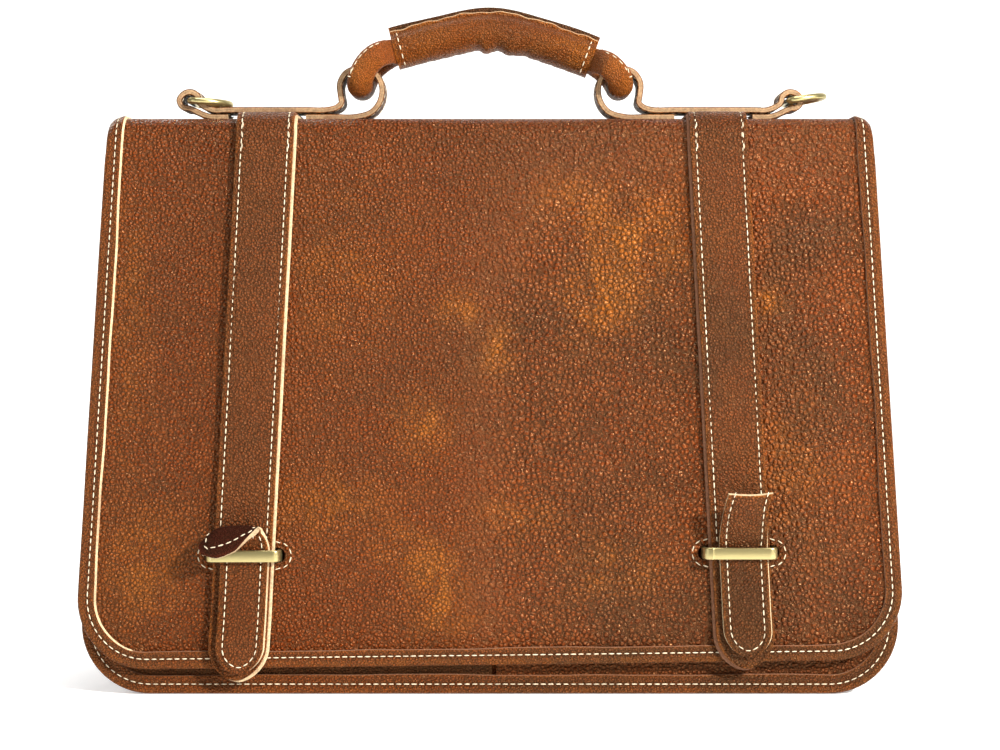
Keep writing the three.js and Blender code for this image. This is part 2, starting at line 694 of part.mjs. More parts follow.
function anchorStrip(way) {
  const ringHalf = (anchorRingWidth - anchorThickness) / 2;
  const eyeRadius = (ringWire + anchorThickness) / 2 + ringEyeSlack;
  const points = [
    [anchorInnerEnd, layer],
    ...handleRingPath.map(({ side, up }) => (
      [anchorRingCentre + side * ringHalf, lerp(layer, anchorRingTop, up)]
    )),
    [anchorRingCentre + 1.12 * ringHalf, upperLayer + anchorThickness / 2],
    [anchorRingCentre + 1.6 * ringHalf, upperLayer],
    [anchorInnerEnd, upperLayer],
    [anchorOuterEnd, upperLayer],
    [ringBarReach - 2.9 * eyeRadius, upperLayer],
    ...eyePath.map(({ side, up }) => [ringBarReach + side * eyeRadius, barHeight + up * eyeRadius]),
    [ringBarReach - 2.2 * eyeRadius, layer + 0.15 * anchorThickness],
    [anchorOuterEnd, layer],
  ].map(([x, z]) => new THREE.Vector3(way * x, 0, z));
  const line = new THREE.CatmullRomCurve3(points, false, 'centripetal');
  const section = roundedBar(anchorWidth, anchorThickness, 0.5);
  const count = 3 * points.length;
  const rings = Array.from({ length: count + 1 }, (_, i) => {
    const at = line.getPoint(i / count);
    const run = line.getTangent(i / count);
    const up = new THREE.Vector3(-run.z, 0, run.x);
    return section.map((p) => at.clone().add(new THREE.Vector3(0, p.x, 0)).addScaledVector(up, p.y));
  });
  return loft(rings, section);
}

// D rings: a straight bar in the eye and a bow, all one brass wire. The bow points to +X.
function ringWireLoop() {
  const side = (ringInnerWidth + ringWire) / 2;
  const reach = ringReach - ringWire / 2;
  const corner = 3;
  const line = [];
  for (let i = 0; i <= roundSteps; i += 1) {
    const turn = lerp(-Math.PI / 2, Math.PI / 2, i / roundSteps);
    line.push([corner + (reach - corner) * Math.cos(turn), side * Math.sin(turn)]);
  }
  for (const [turn, y] of [[0.5, side - corner], [1, side - corner]]) {
    const bend = (turn * Math.PI) / 2;
    line.push([corner * (1 - Math.sin(bend)), y + corner * Math.cos(bend)]);
  }
  line.push([0, 0]);
  for (const [turn, y] of [[1, corner - side], [0.5, corner - side]]) {
    const bend = (turn * Math.PI) / 2;
    line.push([corner * (1 - Math.sin(bend)), y - corner * Math.cos(bend)]);
  }
  const section = oval(ringWire / 2, ringWire / 2, wireSteps);
  const rings = line.map(([x, y], i) => {
    const before = line[(i - 1 + line.length) % line.length];
    const after = line[(i + 1) % line.length];
    const run = new THREE.Vector2(after[0] - before[0], after[1] - before[1]).normalize();
    return section.map((p) => new THREE.Vector3(x + run.y * p.x, y - run.x * p.x, p.y));
  });
  return loft(rings, section, true);
}

function dRing(name, way, tilt) {
  const ring = part(name, ringWireLoop(), brass);
  ring.position.set(way * ringBarReach, 0, barHeight);
  ring.rotation.y = degToRad(-tilt);
  return ring;
}
const restReach = ringReach - ringWire / 2;
const restTop = upperLayer + anchorThickness / 2 + ringWire / 2 + clearance;
const ringRestTilt = radToDeg(Math.asin((restTop - barHeight) / restReach));

const model = new THREE.Group();
model.add(
  frontPanel,
  backPanel,
  gussetPart,
  pocketLeft,
  pocketRight,
  frontBinding,
  backBinding,
  flap,
  flapBinding,
  ...closures,
  core,
  sleeve,
  part('anchor_left', anchorStrip(-1), leatherDark),
  part('anchor_right', anchorStrip(1), leatherDark),
  dRing('ring_left', -1, ringRestTilt),
  dRing('ring_right', 1, ringOutwardTilt),
);

// The origin goes to the middle of the box, on the surface below.
const box = new THREE.Box3().setFromObject(model);
const middle = box.getCenter(new THREE.Vector3());
model.position.set(-middle.x, -middle.y, -box.min.z);
const documentCase = new THREE.Group();
documentCase.add(model);

export default documentCase;
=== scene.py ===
# Leather document case: leather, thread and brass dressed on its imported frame.
# Blender works in metres, +Z up, front towards -Y. Sizes named here are in millimetres.

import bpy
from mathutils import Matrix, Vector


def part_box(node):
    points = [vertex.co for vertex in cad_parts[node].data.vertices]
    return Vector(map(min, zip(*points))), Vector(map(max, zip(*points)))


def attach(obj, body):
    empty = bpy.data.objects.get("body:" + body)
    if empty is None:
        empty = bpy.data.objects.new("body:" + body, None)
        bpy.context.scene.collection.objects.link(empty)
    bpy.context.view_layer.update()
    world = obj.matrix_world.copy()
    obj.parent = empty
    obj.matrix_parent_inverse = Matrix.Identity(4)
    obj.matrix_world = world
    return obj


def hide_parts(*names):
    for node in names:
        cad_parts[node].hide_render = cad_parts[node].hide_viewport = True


bl_info = {
    "name": "Leather document case",
    "version": (1, 0, 0),
    "blender": (4, 5, 0),
    "location": "3D View > Sidebar > Case",
    "description": "Builds a leather flap case with its straps, handle, stitching and brass",
    "category": "Object",
}

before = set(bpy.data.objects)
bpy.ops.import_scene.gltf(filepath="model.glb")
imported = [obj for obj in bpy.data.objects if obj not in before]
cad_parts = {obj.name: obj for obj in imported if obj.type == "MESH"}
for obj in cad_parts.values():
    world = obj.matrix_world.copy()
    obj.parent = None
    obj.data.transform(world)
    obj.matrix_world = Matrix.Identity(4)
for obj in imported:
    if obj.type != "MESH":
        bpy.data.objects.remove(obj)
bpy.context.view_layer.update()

import math
import bpy
import numpy as np
from bpy.props import FloatProperty, FloatVectorProperty, IntProperty, PointerProperty
from bpy.types import Operator, Panel, PropertyGroup
from mathutils import Vector

MM = 0.001

# Body and taper
BASE_WIDTH = 404.4
TOP_WIDTH = 372
BODY_HEIGHT = 282
BASE_DEPTH = 88
TOP_DEPTH = 48
CORNER_RADIUS = 34
CLEARANCE = 0.3
PANEL_TOP_DROP = 11
GUSSET_TOP_DROP = 22
GUSSET_CREASE = 7
POCKET_HEIGHT = 165
POCKET_GAP = 2
POCKET_SPLIT = 2
BODY_BINDING_WIDTH = 9.5
FLANGE_LENGTH = 5.5

# Leather thicknesses
PANEL_THICKNESS = 1.8
GUSSET_THICKNESS = 1.5
POCKET_THICKNESS = 1.6
BINDING_THICKNESS = 1.2
FLAP_THICKNESS = 2.2
STRAP_THICKNESS = 3.2
TONGUE_THICKNESS = 2.4
ANCHOR_THICKNESS = 2.9
SLEEVE_THICKNESS = 1.9

# Flap
FLAP_OVERHANG = 1.7
HEM_HEIGHT = 14.8
HEM_SKEW = 0.0126
SKEW_FADE = 120
BEND_RADIUS = 7
FLAP_BACK_LENGTH = 62
FLAP_BINDING_WIDTH = 8.3

# Straps, tongues and staples
STRAP_WIDTH = 29.6
STRAP_SLOPE = 0.05
TONGUE_WIDTH = 23
TIP_SHARE = 0.56
TONGUE_STITCH = 3.3
STAPLE_HEIGHT = 5.8
STAPLE_THICKNESS = 2.3
STAPLE_BEND = 2.6
STAPLE_SLACK = 0.8
SLOT_HEIGHT = 7.4
STRAPS = (
    {"name": "left", "way": -1, "top": 109.4, "tip": 7, "tongue_tip": 11.2, "shift": 0.6, "bar": 68},
    {"name": "right", "way": 1, "top": 111.2, "tip": 12.7, "tongue_tip": 19.3, "shift": 1.6, "bar": 69.3},
)

# Handle
SLEEVE_RADIUS = 9
SLEEVE_SPAN = 99
SLEEVE_MIDDLE = 2
SLEEVE_RISE = 11.9
SLEEVE_CROWN = 18.7
SLEEVE_DROP = 4.3
HANDLE_HEIGHT = 326.5
FIN_FRONT = 1.6
FIN_BACK = 3.6
LOOP_WIDTH = 13
LOOP_THICKNESS = 8
LOOP_REACH = 65
LOOP_DEPTH = 30
LOOP_LIFT = 11.2
LOOP_START = 2.6

# Anchor strips and D rings
ANCHOR_WIDTH = 20
ANCHOR_RING_WIDTH = 24
ANCHOR_RING_CENTRE = 64.5
ANCHOR_INNER_END = 92
ANCHOR_OUTER_END = 131
RING_BAR_REACH = 149.5
RING_WIRE = 3.4
RING_INNER_WIDTH = 23
RING_REACH = 20
RING_CORNER = 3
EYE_SLACK = 0.65
OUTWARD_TILT = 9

# The middle plane of the case, on which the handle and the rings' bars lie
ring_low, ring_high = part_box("ring_left")
MIDDLE_Y = (ring_low.y + ring_high.y) / 2 / MM

# Taper, flap line and layers worked out from the sizes above
LEAN = math.atan((BASE_DEPTH - TOP_DEPTH) / 2 / BODY_HEIGHT)
SIDE_SLOPE = math.atan((BASE_WIDTH - TOP_WIDTH) / 2 / BODY_HEIGHT)


def lerp(a, b, t):
    return a + (b - a) * t


def smooth_step(t, low, high):
    t = np.clip((t - low) / (high - low), 0, 1)
    return t * t * (3 - 2 * t)


def body_half_width(z):
    return lerp(BASE_WIDTH, TOP_WIDTH, z / BODY_HEIGHT) / 2


def body_half_depth(z):
    return lerp(BASE_DEPTH, TOP_DEPTH, z / BODY_HEIGHT) / 2


POCKET_FACE = BINDING_THICKNESS + CLEARANCE
FRONT_PANEL_FACE = POCKET_FACE + POCKET_THICKNESS + CLEARANCE
FRONT_FLANGE_FACE = FRONT_PANEL_FACE + PANEL_THICKNESS + CLEARANCE
BACK_PANEL_FACE = BINDING_THICKNESS + CLEARANCE
BACK_FLANGE_FACE = BACK_PANEL_FACE + PANEL_THICKNESS + CLEARANCE
PANEL_INSET = BINDING_THICKNESS + CLEARANCE
PANEL_TOP = BODY_HEIGHT - PANEL_TOP_DROP

STAND_OFF = BINDING_THICKNESS + 2 * CLEARANCE
TOP_INNER = BODY_HEIGHT - FLAP_THICKNESS
BEND_HEIGHT = TOP_INNER - BEND_RADIUS
BEND_TURN = math.pi / 2 - LEAN
BEND_LENGTH = BEND_RADIUS * BEND_TURN
BEND_DEPTH = body_half_depth(BEND_HEIGHT) + STAND_OFF - BEND_RADIUS / math.cos(LEAN)
BEND_START = BEND_HEIGHT + BEND_RADIUS * math.sin(LEAN)
TOP_START = BEND_START + BEND_LENGTH
TOP_END = TOP_START + 2 * BEND_DEPTH
BACK_START = TOP_END + BEND_LENGTH
FLAP_END = BACK_START + FLAP_BACK_LENGTH

STRAP_LIFT = FLAP_THICKNESS + CLEARANCE
HEM_LIFT = BINDING_THICKNESS + CLEARANCE
STEP_START = HEM_HEIGHT + FLAP_BINDING_WIDTH + 3
STEP_END = STEP_START + 12
STAPLE_WIDTH = STRAP_WIDTH + 4 * CLEARANCE + STAPLE_SLACK + 2 * STAPLE_THICKNESS

# Swells and hollows of the flap's front: place across, height, reach both ways, and rise
FLAP_SWELLS = (
    {"x": -128, "z": 165, "wide": 16, "high": 60, "rise": -0.7},
    {"x": -85, "z": 120, "wide": 42, "high": 70, "rise": 1.3},
    {"x": -160, "z": 200, "wide": 26, "high": 60, "rise": 0.9},
    {"x": 0, "z": 185, "wide": 60, "high": 50, "rise": 1.1},
    {"x": 60, "z": 90, "wide": 38, "high": 46, "rise": 1.0},
    {"x": 150, "z": 238, "wide": 24, "high": 5, "rise": -0.8},
    {"x": 152, "z": 222, "wide": 26, "high": 9, "rise": 1.2},
    {"x": 165, "z": 120, "wide": 22, "high": 60, "rise": 1.2},
    {"x": 20, "z": 40, "wide": 70, "high": 18, "rise": 0.7},
    {"x": -75, "z": 30, "wide": 30, "high": 15, "rise": -0.4},
)
SWELL_FADE = 16


def flap_swell(x, s):
    """How far the soft flap stands out of its plain surface at a place on its front."""
    total = 0
    for swell in FLAP_SWELLS:
        across = (x - swell["x"]) / swell["wide"]
        along = (s - swell["z"]) / swell["high"]
        total = total + swell["rise"] * np.exp(-across ** 2 - along ** 2)
    ripple = 0.22 * np.sin(x / 17 + s / 31) * np.sin(s / 23 - x / 40)
    front = 1 - smooth_step(s, BEND_START - SWELL_FADE, BEND_START)
    hem = smooth_step(s, HEM_HEIGHT - SWELL_FADE, HEM_HEIGHT + SWELL_FADE)
    return (total + ripple) * front * lerp(0.35, 1, hem)


def flap_line(s):
    """Place and outward normal (y, z, ny, nz) of the flap's inner face along its way s."""
    s = np.asarray(s, float)
    front_turn = np.clip(LEAN + (s - BEND_START) / BEND_RADIUS, LEAN, math.pi / 2)
    back_turn = np.clip(math.pi / 2 + (s - TOP_END) / BEND_RADIUS, math.pi / 2, math.pi - LEAN)
    turn = np.where(s < (TOP_START + TOP_END) / 2, front_turn, back_turn)
    ny, nz = -np.cos(turn), np.sin(turn)
    back_z = BEND_START - (s - BACK_START) * math.cos(LEAN)
    cases = [s <= BEND_START, s <= TOP_START, s <= TOP_END, s <= BACK_START]
    y = np.select(
        cases,
        [
            -body_half_depth(s) - STAND_OFF,
            -BEND_DEPTH + BEND_RADIUS * ny,
            s - TOP_START - BEND_DEPTH,
            BEND_DEPTH + BEND_RADIUS * ny,
        ],
        body_half_depth(back_z) + STAND_OFF,
    )
    bend_z = BEND_HEIGHT + BEND_RADIUS * nz
    z = np.select(cases, [s, bend_z, TOP_INNER + 0 * s, bend_z], back_z)
    return y, z, ny, nz


# The flap's two top corners droop in a soft round
TOP_CORNER_ROUND = 9.0
TOP_CORNER_DROP = 7.0
DROOP_START = 256.0


def corner_droop(x, z):
    reach = body_half_width(BODY_HEIGHT) + FLAP_OVERHANG - TOP_CORNER_ROUND
    out = np.clip((np.abs(x) - reach) / (TOP_CORNER_ROUND + 0.5), 0, 1)
    return TOP_CORNER_DROP * (1 - np.sqrt(1 - out ** 2)) * smooth_step(z, DROOP_START, BODY_HEIGHT)


def on_flap(x, s, rise):
    """A point over the flap's inner face, with the flap's own swells."""
    x, s, rise = np.broadcast_arrays(np.asarray(x, float), s, rise)
    y, z, ny, nz = flap_line(s)
    lift = rise + flap_swell(x, s)
    high = z + nz * lift
    return np.stack([x, y + ny * lift, high - corner_droop(x, high)], axis=-1)


def on_hem_flap(x, s, rise):
    """As on_flap, with the hem hanging a little lower on the left."""
    skew = HEM_SKEW * x * np.clip(1 - (s - HEM_HEIGHT) / SKEW_FADE, 0, 1)
    return on_flap(x, s + skew, rise)


def on_front(x, z, depth):
    return np.stack(np.broadcast_arrays(x, depth - body_half_depth(z), z), axis=-1)


def on_back(x, z, depth):
    return np.stack(np.broadcast_arrays(x, body_half_depth(z) - depth, z), axis=-1)


def flap_half_width(s):
    return body_half_width(flap_line(s)[1]) + FLAP_OVERHANG


def strap_centre(side, s):
    return side["way"] * (side["top"] + STRAP_SLOPE * np.maximum(BEND_START - s, 0))


def strap_rise(s):
    return STRAP_LIFT + HEM_LIFT * (1 - smooth_step(s, STEP_START, STEP_END))


def tip_share(distance, length):
    """Half width of a rounded, slightly pointed end, as a share of the full half width."""
    t = np.clip(distance / length, 0, 1)
    return np.maximum(np.power(1 - np.power(1 - t, 1.9), 0.56), 0.05)


def u_edge(half_width, bottom, sides, radius, steps=18):
    """A tapered panel's edge from upper left round to upper right: x, z and normal, in rows."""
    centre_height = bottom + radius
    centre_x = half_width(centre_height) - radius / math.cos(SIDE_SLOPE)
    sides = np.asarray(sides, float)
    side = np.stack([
        half_width(sides), sides,
        np.full(len(sides), math.cos(SIDE_SLOPE)), np.full(len(sides), math.sin(SIDE_SLOPE)),
    ], axis=1)
    turn = np.linspace(SIDE_SLOPE, -math.pi / 2, steps + 1)
    nx, nz = np.cos(turn), np.sin(turn)
    corner = np.stack([centre_x + radius * nx, centre_height + radius * nz, nx, nz], axis=1)
    right = np.concatenate([side, corner])
    left = right * np.array([-1, 1, -1, 1])
    return np.concatenate([left, right[::-1]])


def spaced(*marks, step=4.0):
    """Rising or falling stations through the marks, none further apart than a step."""
    parts = [[marks[0]]]
    for a, b in zip(marks, marks[1:]):
        count = max(1, math.ceil(abs(b - a) / step))
        parts.append(np.linspace(a, b, count + 1)[1:])
    return np.concatenate(parts)


# Meshes from grids of points, in millimetres about the case's middle plane

def object_of(name, points, faces, finishes, face_finish=None, marks=None, bend_angle=40):
    """A mesh object in place from points in millimetres, with its materials and point marks."""
    mesh = bpy.data.meshes.new(name)
    placed = (np.asarray(points, float) + np.array([0, MIDDLE_Y, 0])) * MM
    mesh.from_pydata(placed.tolist(), [], faces)
    for finish in finishes:
        mesh.materials.append(finish)
    if face_finish is not None:
        mesh.polygons.foreach_set("material_index", np.asarray(face_finish, np.int32))
    for mark, values in (marks or {}).items():
        layer = mesh.attributes.new(mark, "FLOAT", "POINT")
        layer.data.foreach_set("value", np.asarray(values, np.float32).ravel())
    mesh.shade_smooth()
    mesh.update()
    mesh.set_sharp_from_angle(angle=math.radians(bend_angle))
    piece = bpy.data.objects.new(name, mesh)
    bpy.context.collection.objects.link(piece)
    return piece


def turned_outwards(points, faces):
    """The faces as they are, or all turned, so that the closed shape's volume is positive."""
    corners = np.asarray(points, float)
    volume = 0.0
    for face in faces:
        a = corners[face[0]]
        for i in range(1, len(face) - 1):
            volume += np.dot(a, np.cross(corners[face[i]], corners[face[i + 1]]))
    if volume >= 0:
        return faces
    return [tuple(reversed(face)) for face in faces]


def grid_normals(grid):
    along = np.gradient(grid, axis=0)
    across = np.gradient(grid, axis=1)
    normals = np.cross(across, along)
    return normals / np.maximum(np.linalg.norm(normals, axis=2, keepdims=True), 1e-9)


def wall(name, inner, outer, finishes, marks=None, edge_ease=0.0):
    """A closed leather wall between two grids. Finishes are its outside, inside and cut edge."""
    rows, columns = inner.shape[:2]
    size = rows * columns
    index = np.arange(size).reshape(rows, columns)
    a, b = index[:-1, :-1].ravel(), index[:-1, 1:].ravel()
    c, d = index[1:, 1:].ravel(), index[1:, :-1].ravel()
    outside = np.stack([a, b, c, d], axis=1)
    inside = np.stack([d, c, b, a], axis=1) + size
    rim = np.concatenate([index[0, :-1], index[:-1, -1], index[-1, :0:-1], index[:0:-1, 0]])
    following = np.roll(rim, -1)
    middle = np.arange(len(rim)) + 2 * size
    middle_next = np.roll(middle, -1)
    upper = np.stack([following, rim, middle, middle_next], axis=1)
    lower = np.stack([middle_next, middle, rim + size, following + size], axis=1)
    flat_inner, flat_outer = inner.reshape(-1, 3), outer.reshape(-1, 3)
    edge_middle = (flat_inner[rim] + flat_outer[rim]) / 2
    if edge_ease:
        heading = np.roll(edge_middle, -1, axis=0) - np.roll(edge_middle, 1, axis=0)
        out = np.cross(heading, flat_outer[rim] - flat_inner[rim])
        out /= np.maximum(np.linalg.norm(out, axis=1, keepdims=True), 1e-9)
        centre = edge_middle.mean(axis=0)
        way = np.sign(np.sum(out * (edge_middle - centre)))
        edge_middle = edge_middle + out * way * edge_ease
    points = np.concatenate([flat_outer, flat_inner, edge_middle])
    faces = [tuple(face) for face in np.concatenate([outside, inside, upper, lower]).tolist()]
    face_finish = np.concatenate([
        np.zeros(len(outside)), np.ones(len(inside)), np.full(len(upper) + len(lower), 2),
    ])
    point_marks = {}
    for mark, values in (marks or {}).items():
        flat = np.asarray(values, float).ravel()
        point_marks[mark] = np.concatenate([flat, flat, flat[rim]])
    faces = turned_outwards(points, faces)
    return object_of(name, points, faces, finishes, face_finish, point_marks)


def finish_at(section_finish, ring, i):
    """A face's finish: given for each point of the section, or for each ring's own section."""
    if section_finish is None:
        return 0
    row = section_finish[ring] if isinstance(section_finish[0], list) else section_finish
    return row[i]


def sweep(name, rings, finishes, section_finish=None, endless=False, marks=None, bend_angle=40):
    """A closed shape through rings of equal point count, capped unless it is endless."""
    rings = np.asarray(rings, float)
    count, around = rings.shape[:2]
    faces = []
    face_finish = []
    for ring in range(count if endless else count - 1):
        here, there = ring * around, ((ring + 1) % count) * around
        for i in range(around):
            j = (i + 1) % around
            faces.append((here + i, here + j, there + j, there + i))
            face_finish.append(finish_at(section_finish, ring, i))
    if not endless:
        faces.append(tuple(reversed(range(around))))
        faces.append(tuple(range((count - 1) * around, count * around)))
        face_finish += [len(finishes) - 1] * 2
    points = rings.reshape(-1, 3)
    faces = turned_outwards(points, faces)
    return object_of(name, points, faces, finishes, face_finish, marks, bend_angle)


def add_piece(piece, body, slot, *nodes):
    """Give a piece its body and the CAD nodes that it stands for, which are hidden; the slot is not used."""
    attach(piece, body)
    if nodes:
        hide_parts(*nodes)
    return piece


def edge_height(distance, thickness, round_off, stitch, groove):
    """Thickness of a leather strip at a distance from its edge: rounded, with a stitched dip."""
    inside = np.clip(distance / round_off, 0, 1)
    drop = round_off * (1 - np.sqrt(1 - (1 - inside) ** 2))
    dip = groove * np.exp(-((distance - stitch) / 0.9) ** 2)
    return thickness - drop - dip


def strip_columns(width, stitch=2.8, step=2.6):
    """Stations across a strip, from edge to edge: closer at its rounded edges and its dips."""
    half = width / 2
    near = [0, 0.15, 0.45, 0.9, stitch - 0.9, stitch - 0.3, stitch + 0.3, stitch + 1.0]
    middle = np.linspace(near[-1], half, max(2, math.ceil((half - near[-1]) / step)) + 1)[1:]
    distance = np.concatenate([near, middle])
    left = distance - half
    return np.concatenate([left, -left[-2::-1]]), np.concatenate([distance, distance[-2::-1]])


def spline(points, count):
    """Centripetal Catmull-Rom curve through given points, evenly shared between them."""
    points = np.asarray(points, float)
    first = 2 * points[0] - points[1]
    last = 2 * points[-1] - points[-2]
    chain = np.concatenate([[first], points, [last]])
    spans = np.sqrt(np.maximum(np.linalg.norm(np.diff(chain, axis=0), axis=1), 1e-6))
    result = []
    for place in np.linspace(0, len(points) - 1, count):
        i = min(int(place), len(points) - 2)
        t = place - i
        p0, p1, p2, p3 = chain[i:i + 4]
        d0, d1, d2 = spans[i:i + 3]
        m1 = (p1 - p0) / d0 - (p2 - p0) / (d0 + d1) + (p2 - p1) / d1
        m2 = (p2 - p1) / d1 - (p3 - p1) / (d1 + d2) + (p3 - p2) / d2
        m1, m2 = m1 * d1, m2 * d1
        a = 2 * t ** 3 - 3 * t ** 2 + 1
        b = t ** 3 - 2 * t ** 2 + t
        c = -2 * t ** 3 + 3 * t ** 2
        d = t ** 3 - t ** 2
        result.append(a * p1 + b * m1 + c * p2 + d * m2)
    return np.array(result)


# Sizes and colours that a user would change

def colour_setting(name, description, default):
    return FloatVectorProperty(
        name=name, description=description, default=default, subtype="COLOR", size=3, min=0, max=1)


class CaseColours(PropertyGroup):
    flap: colour_setting("Flap", "Waxed brown leather of the flap and walls", (0.160, 0.0245, 0.0026))
    flap_dark: colour_setting("Flap shade", "Darker clouds in the waxed leather", (0.076, 0.0150, 0.0044))
    flap_rubbed: colour_setting("Flap rubbed", "Golden places where wax has moved", (0.36, 0.098, 0.0070))
    binding: colour_setting("Binding", "Leather folded round the edges", (0.165, 0.028, 0.0030))
    strap: colour_setting("Strap", "Leather of the straps and tongues", (0.158, 0.029, 0.0050))
    # This colour is also painted shade on the handle sleeve's back fin.
    dark: colour_setting("Dark leather", "Leather of left pocket and top bands", (0.062, 0.0125, 0.004))
    handle: colour_setting("Handle", "Leather of the handle", (0.205, 0.040, 0.0040))
    raw_edge: colour_setting("Raw edge", "Cut edges of the leather", (0.74, 0.55, 0.32))
    thread: colour_setting("Thread", "Cream stitching thread", (0.76, 0.64, 0.45))
    brass: colour_setting("Brass", "Brushed, slightly aged brass", (0.60, 0.47, 0.20))


class CaseGrain(PropertyGroup):
    cell: FloatProperty(
        name="Pebble size", description="Width of one pebble of the grain",
        default=1.75 * MM, min=0.5 * MM, max=8 * MM, unit="LENGTH", precision=4)
    depth: FloatProperty(
        name="Grain depth", description="Height of the pebbles over their creases",
        default=1.5 * MM, min=0, max=2 * MM, unit="LENGTH", precision=5)


class CaseStitching(PropertyGroup):
    pitch: FloatProperty(
        name="Pitch", description="Distance from one stitch to the next",
        default=3.7 * MM, min=1.5 * MM, max=10 * MM, unit="LENGTH", precision=4)
    length: FloatProperty(
        name="Length", description="Visible length of one stitch",
        default=2.9 * MM, min=1 * MM, max=9 * MM, unit="LENGTH", precision=4)
    width: FloatProperty(
        name="Width", description="Width of the thread",
        default=0.62 * MM, min=0.2 * MM, max=3 * MM, unit="LENGTH", precision=4)
    seed: IntProperty(name="Seed", description="Seed of the stitches' small unevenness", default=7)


class CaseStage(PropertyGroup):
    camera_distance: FloatProperty(
        name="Camera distance", description="From the case's front face to the camera",
        default=1.0, min=0.3, max=5, unit="LENGTH")
    camera_height: FloatProperty(
        name="Camera height", description="Height of the camera over the floor",
        default=0.2, min=0.02, max=2, unit="LENGTH")


class CaseSettings(PropertyGroup):
    colours: PointerProperty(type=CaseColours)
    grain: PointerProperty(type=CaseGrain)
    stitching: PointerProperty(type=CaseStitching)
    stage: PointerProperty(type=CaseStage)


def settings():
    return bpy.context.scene.leather_case


# Shader nodes

def add_node(tree, kind, inputs=None, **options):
    node = tree.nodes.new(kind)
    for option, value in options.items():
        setattr(node, option, value)
    for socket, value in (inputs or {}).items():
        if isinstance(value, bpy.types.NodeSocket):
            tree.links.new(value, node.inputs[socket])
        else:
            node.inputs[socket].default_value = value
    return node


def sums(tree, operation, a, b=0.5):
    return add_node(tree, "ShaderNodeMath", {0: a, 1: b}, operation=operation).outputs[0]


def ranged(tree, value, low, high, to_low=0.0, to_high=1.0):
    return add_node(tree, "ShaderNodeMapRange", {
        "Value": value, "From Min": low, "From Max": high, "To Min": to_low, "To Max": to_high,
    }, interpolation_type="SMOOTHSTEP").outputs["Result"]


def blended(tree, share, a, b, blend_type="MIX"):
    node = add_node(tree, "ShaderNodeMix", data_type="RGBA", blend_type=blend_type)
    for socket, value in ((0, share), (6, a), (7, b)):
        if isinstance(value, bpy.types.NodeSocket):
            tree.links.new(value, node.inputs[socket])
        elif socket:
            node.inputs[socket].default_value = (*value[:3], 1)
        else:
            node.inputs[socket].default_value = value
    return node.outputs[2]


def mark(tree, name):
    return add_node(tree, "ShaderNodeAttribute", attribute_name=name).outputs["Fac"]


def new_group(name, inputs, outputs):
    """A shader group with its named inputs (name: kind, default) and outputs (name: kind)."""
    group = bpy.data.node_groups.new(name, "ShaderNodeTree")
    for socket, (kind, default) in inputs.items():
        made = group.interface.new_socket(socket, in_out="INPUT", socket_type=kind)
        if default is not None:
            made.default_value = default
    for socket, kind in outputs.items():
        group.interface.new_socket(socket, in_out="OUTPUT", socket_type=kind)
    return group, group.nodes.new("NodeGroupInput").outputs, group.nodes.new("NodeGroupOutput")


def noise(tree, vector, scale, detail=3.0, roughness=0.5, distortion=0.0):
    return add_node(tree, "ShaderNodeTexNoise", {
        "Vector": vector, "Scale": scale, "Detail": detail, "Roughness": roughness,
        "Distortion": distortion,
    })


def pebbled_grain():
    """Pebbles parted by creases, as in milled cowhide."""
    tree, given, result = new_group(
        "Pebbled grain",
        {"Vector": ("NodeSocketVector", None), "Cells per metre": ("NodeSocketFloat", 500.0)},
        {"Height": "NodeSocketFloat", "Crease": "NodeSocketFloat", "Tone": "NodeSocketFloat",
         "Dome": "NodeSocketFloat"},
    )
    scaled = add_node(tree, "ShaderNodeVectorMath", {
        0: given["Vector"], "Scale": given["Cells per metre"]}, operation="SCALE").outputs[0]
    push = noise(tree, scaled, 0.9, 2.0).outputs["Color"]
    pushed = add_node(tree, "ShaderNodeVectorMath", {
        0: push, 1: (0.9, 0.9, 0.9), 2: scaled}, operation="MULTIPLY_ADD").outputs[0]
    edges = add_node(tree, "ShaderNodeTexVoronoi", {
        "Vector": pushed, "Scale": 1.0, "Randomness": 0.95}, feature="DISTANCE_TO_EDGE")
    cells = add_node(tree, "ShaderNodeTexVoronoi", {
        "Vector": pushed, "Scale": 1.0, "Randomness": 0.95}, feature="F1")
    tone = add_node(tree, "ShaderNodeSeparateColor", {0: cells.outputs["Color"]}).outputs[0]
    near = cells.outputs["Distance"]
    dome = ranged(tree, sums(tree, "MULTIPLY", near, near), 0.45, 0.0)
    rim = ranged(tree, edges.outputs["Distance"], 0.0, 0.12)
    fine = noise(tree, scaled, 3.2, 3.0).outputs["Fac"]
    large = noise(tree, scaled, 0.22, 2.0).outputs["Fac"]
    height = sums(tree, "ADD", sums(tree, "MULTIPLY", dome, 0.66), sums(tree, "MULTIPLY", rim, 0.20))
    height = sums(tree, "ADD", height, sums(tree, "MULTIPLY", fine, 0.16))
    height = sums(tree, "ADD", height, sums(tree, "MULTIPLY", sums(tree, "MULTIPLY", dome, tone), 0.22))
    height = sums(tree, "ADD", height, sums(tree, "MULTIPLY", large, 0.5))
    crease = ranged(tree, edges.outputs["Distance"], 0.11, 0.0)
    tree.links.new(height, result.inputs["Height"])
    tree.links.new(crease, result.inputs["Crease"])
    tree.links.new(tone, result.inputs["Tone"])
    tree.links.new(dome, result.inputs["Dome"])
    return tree


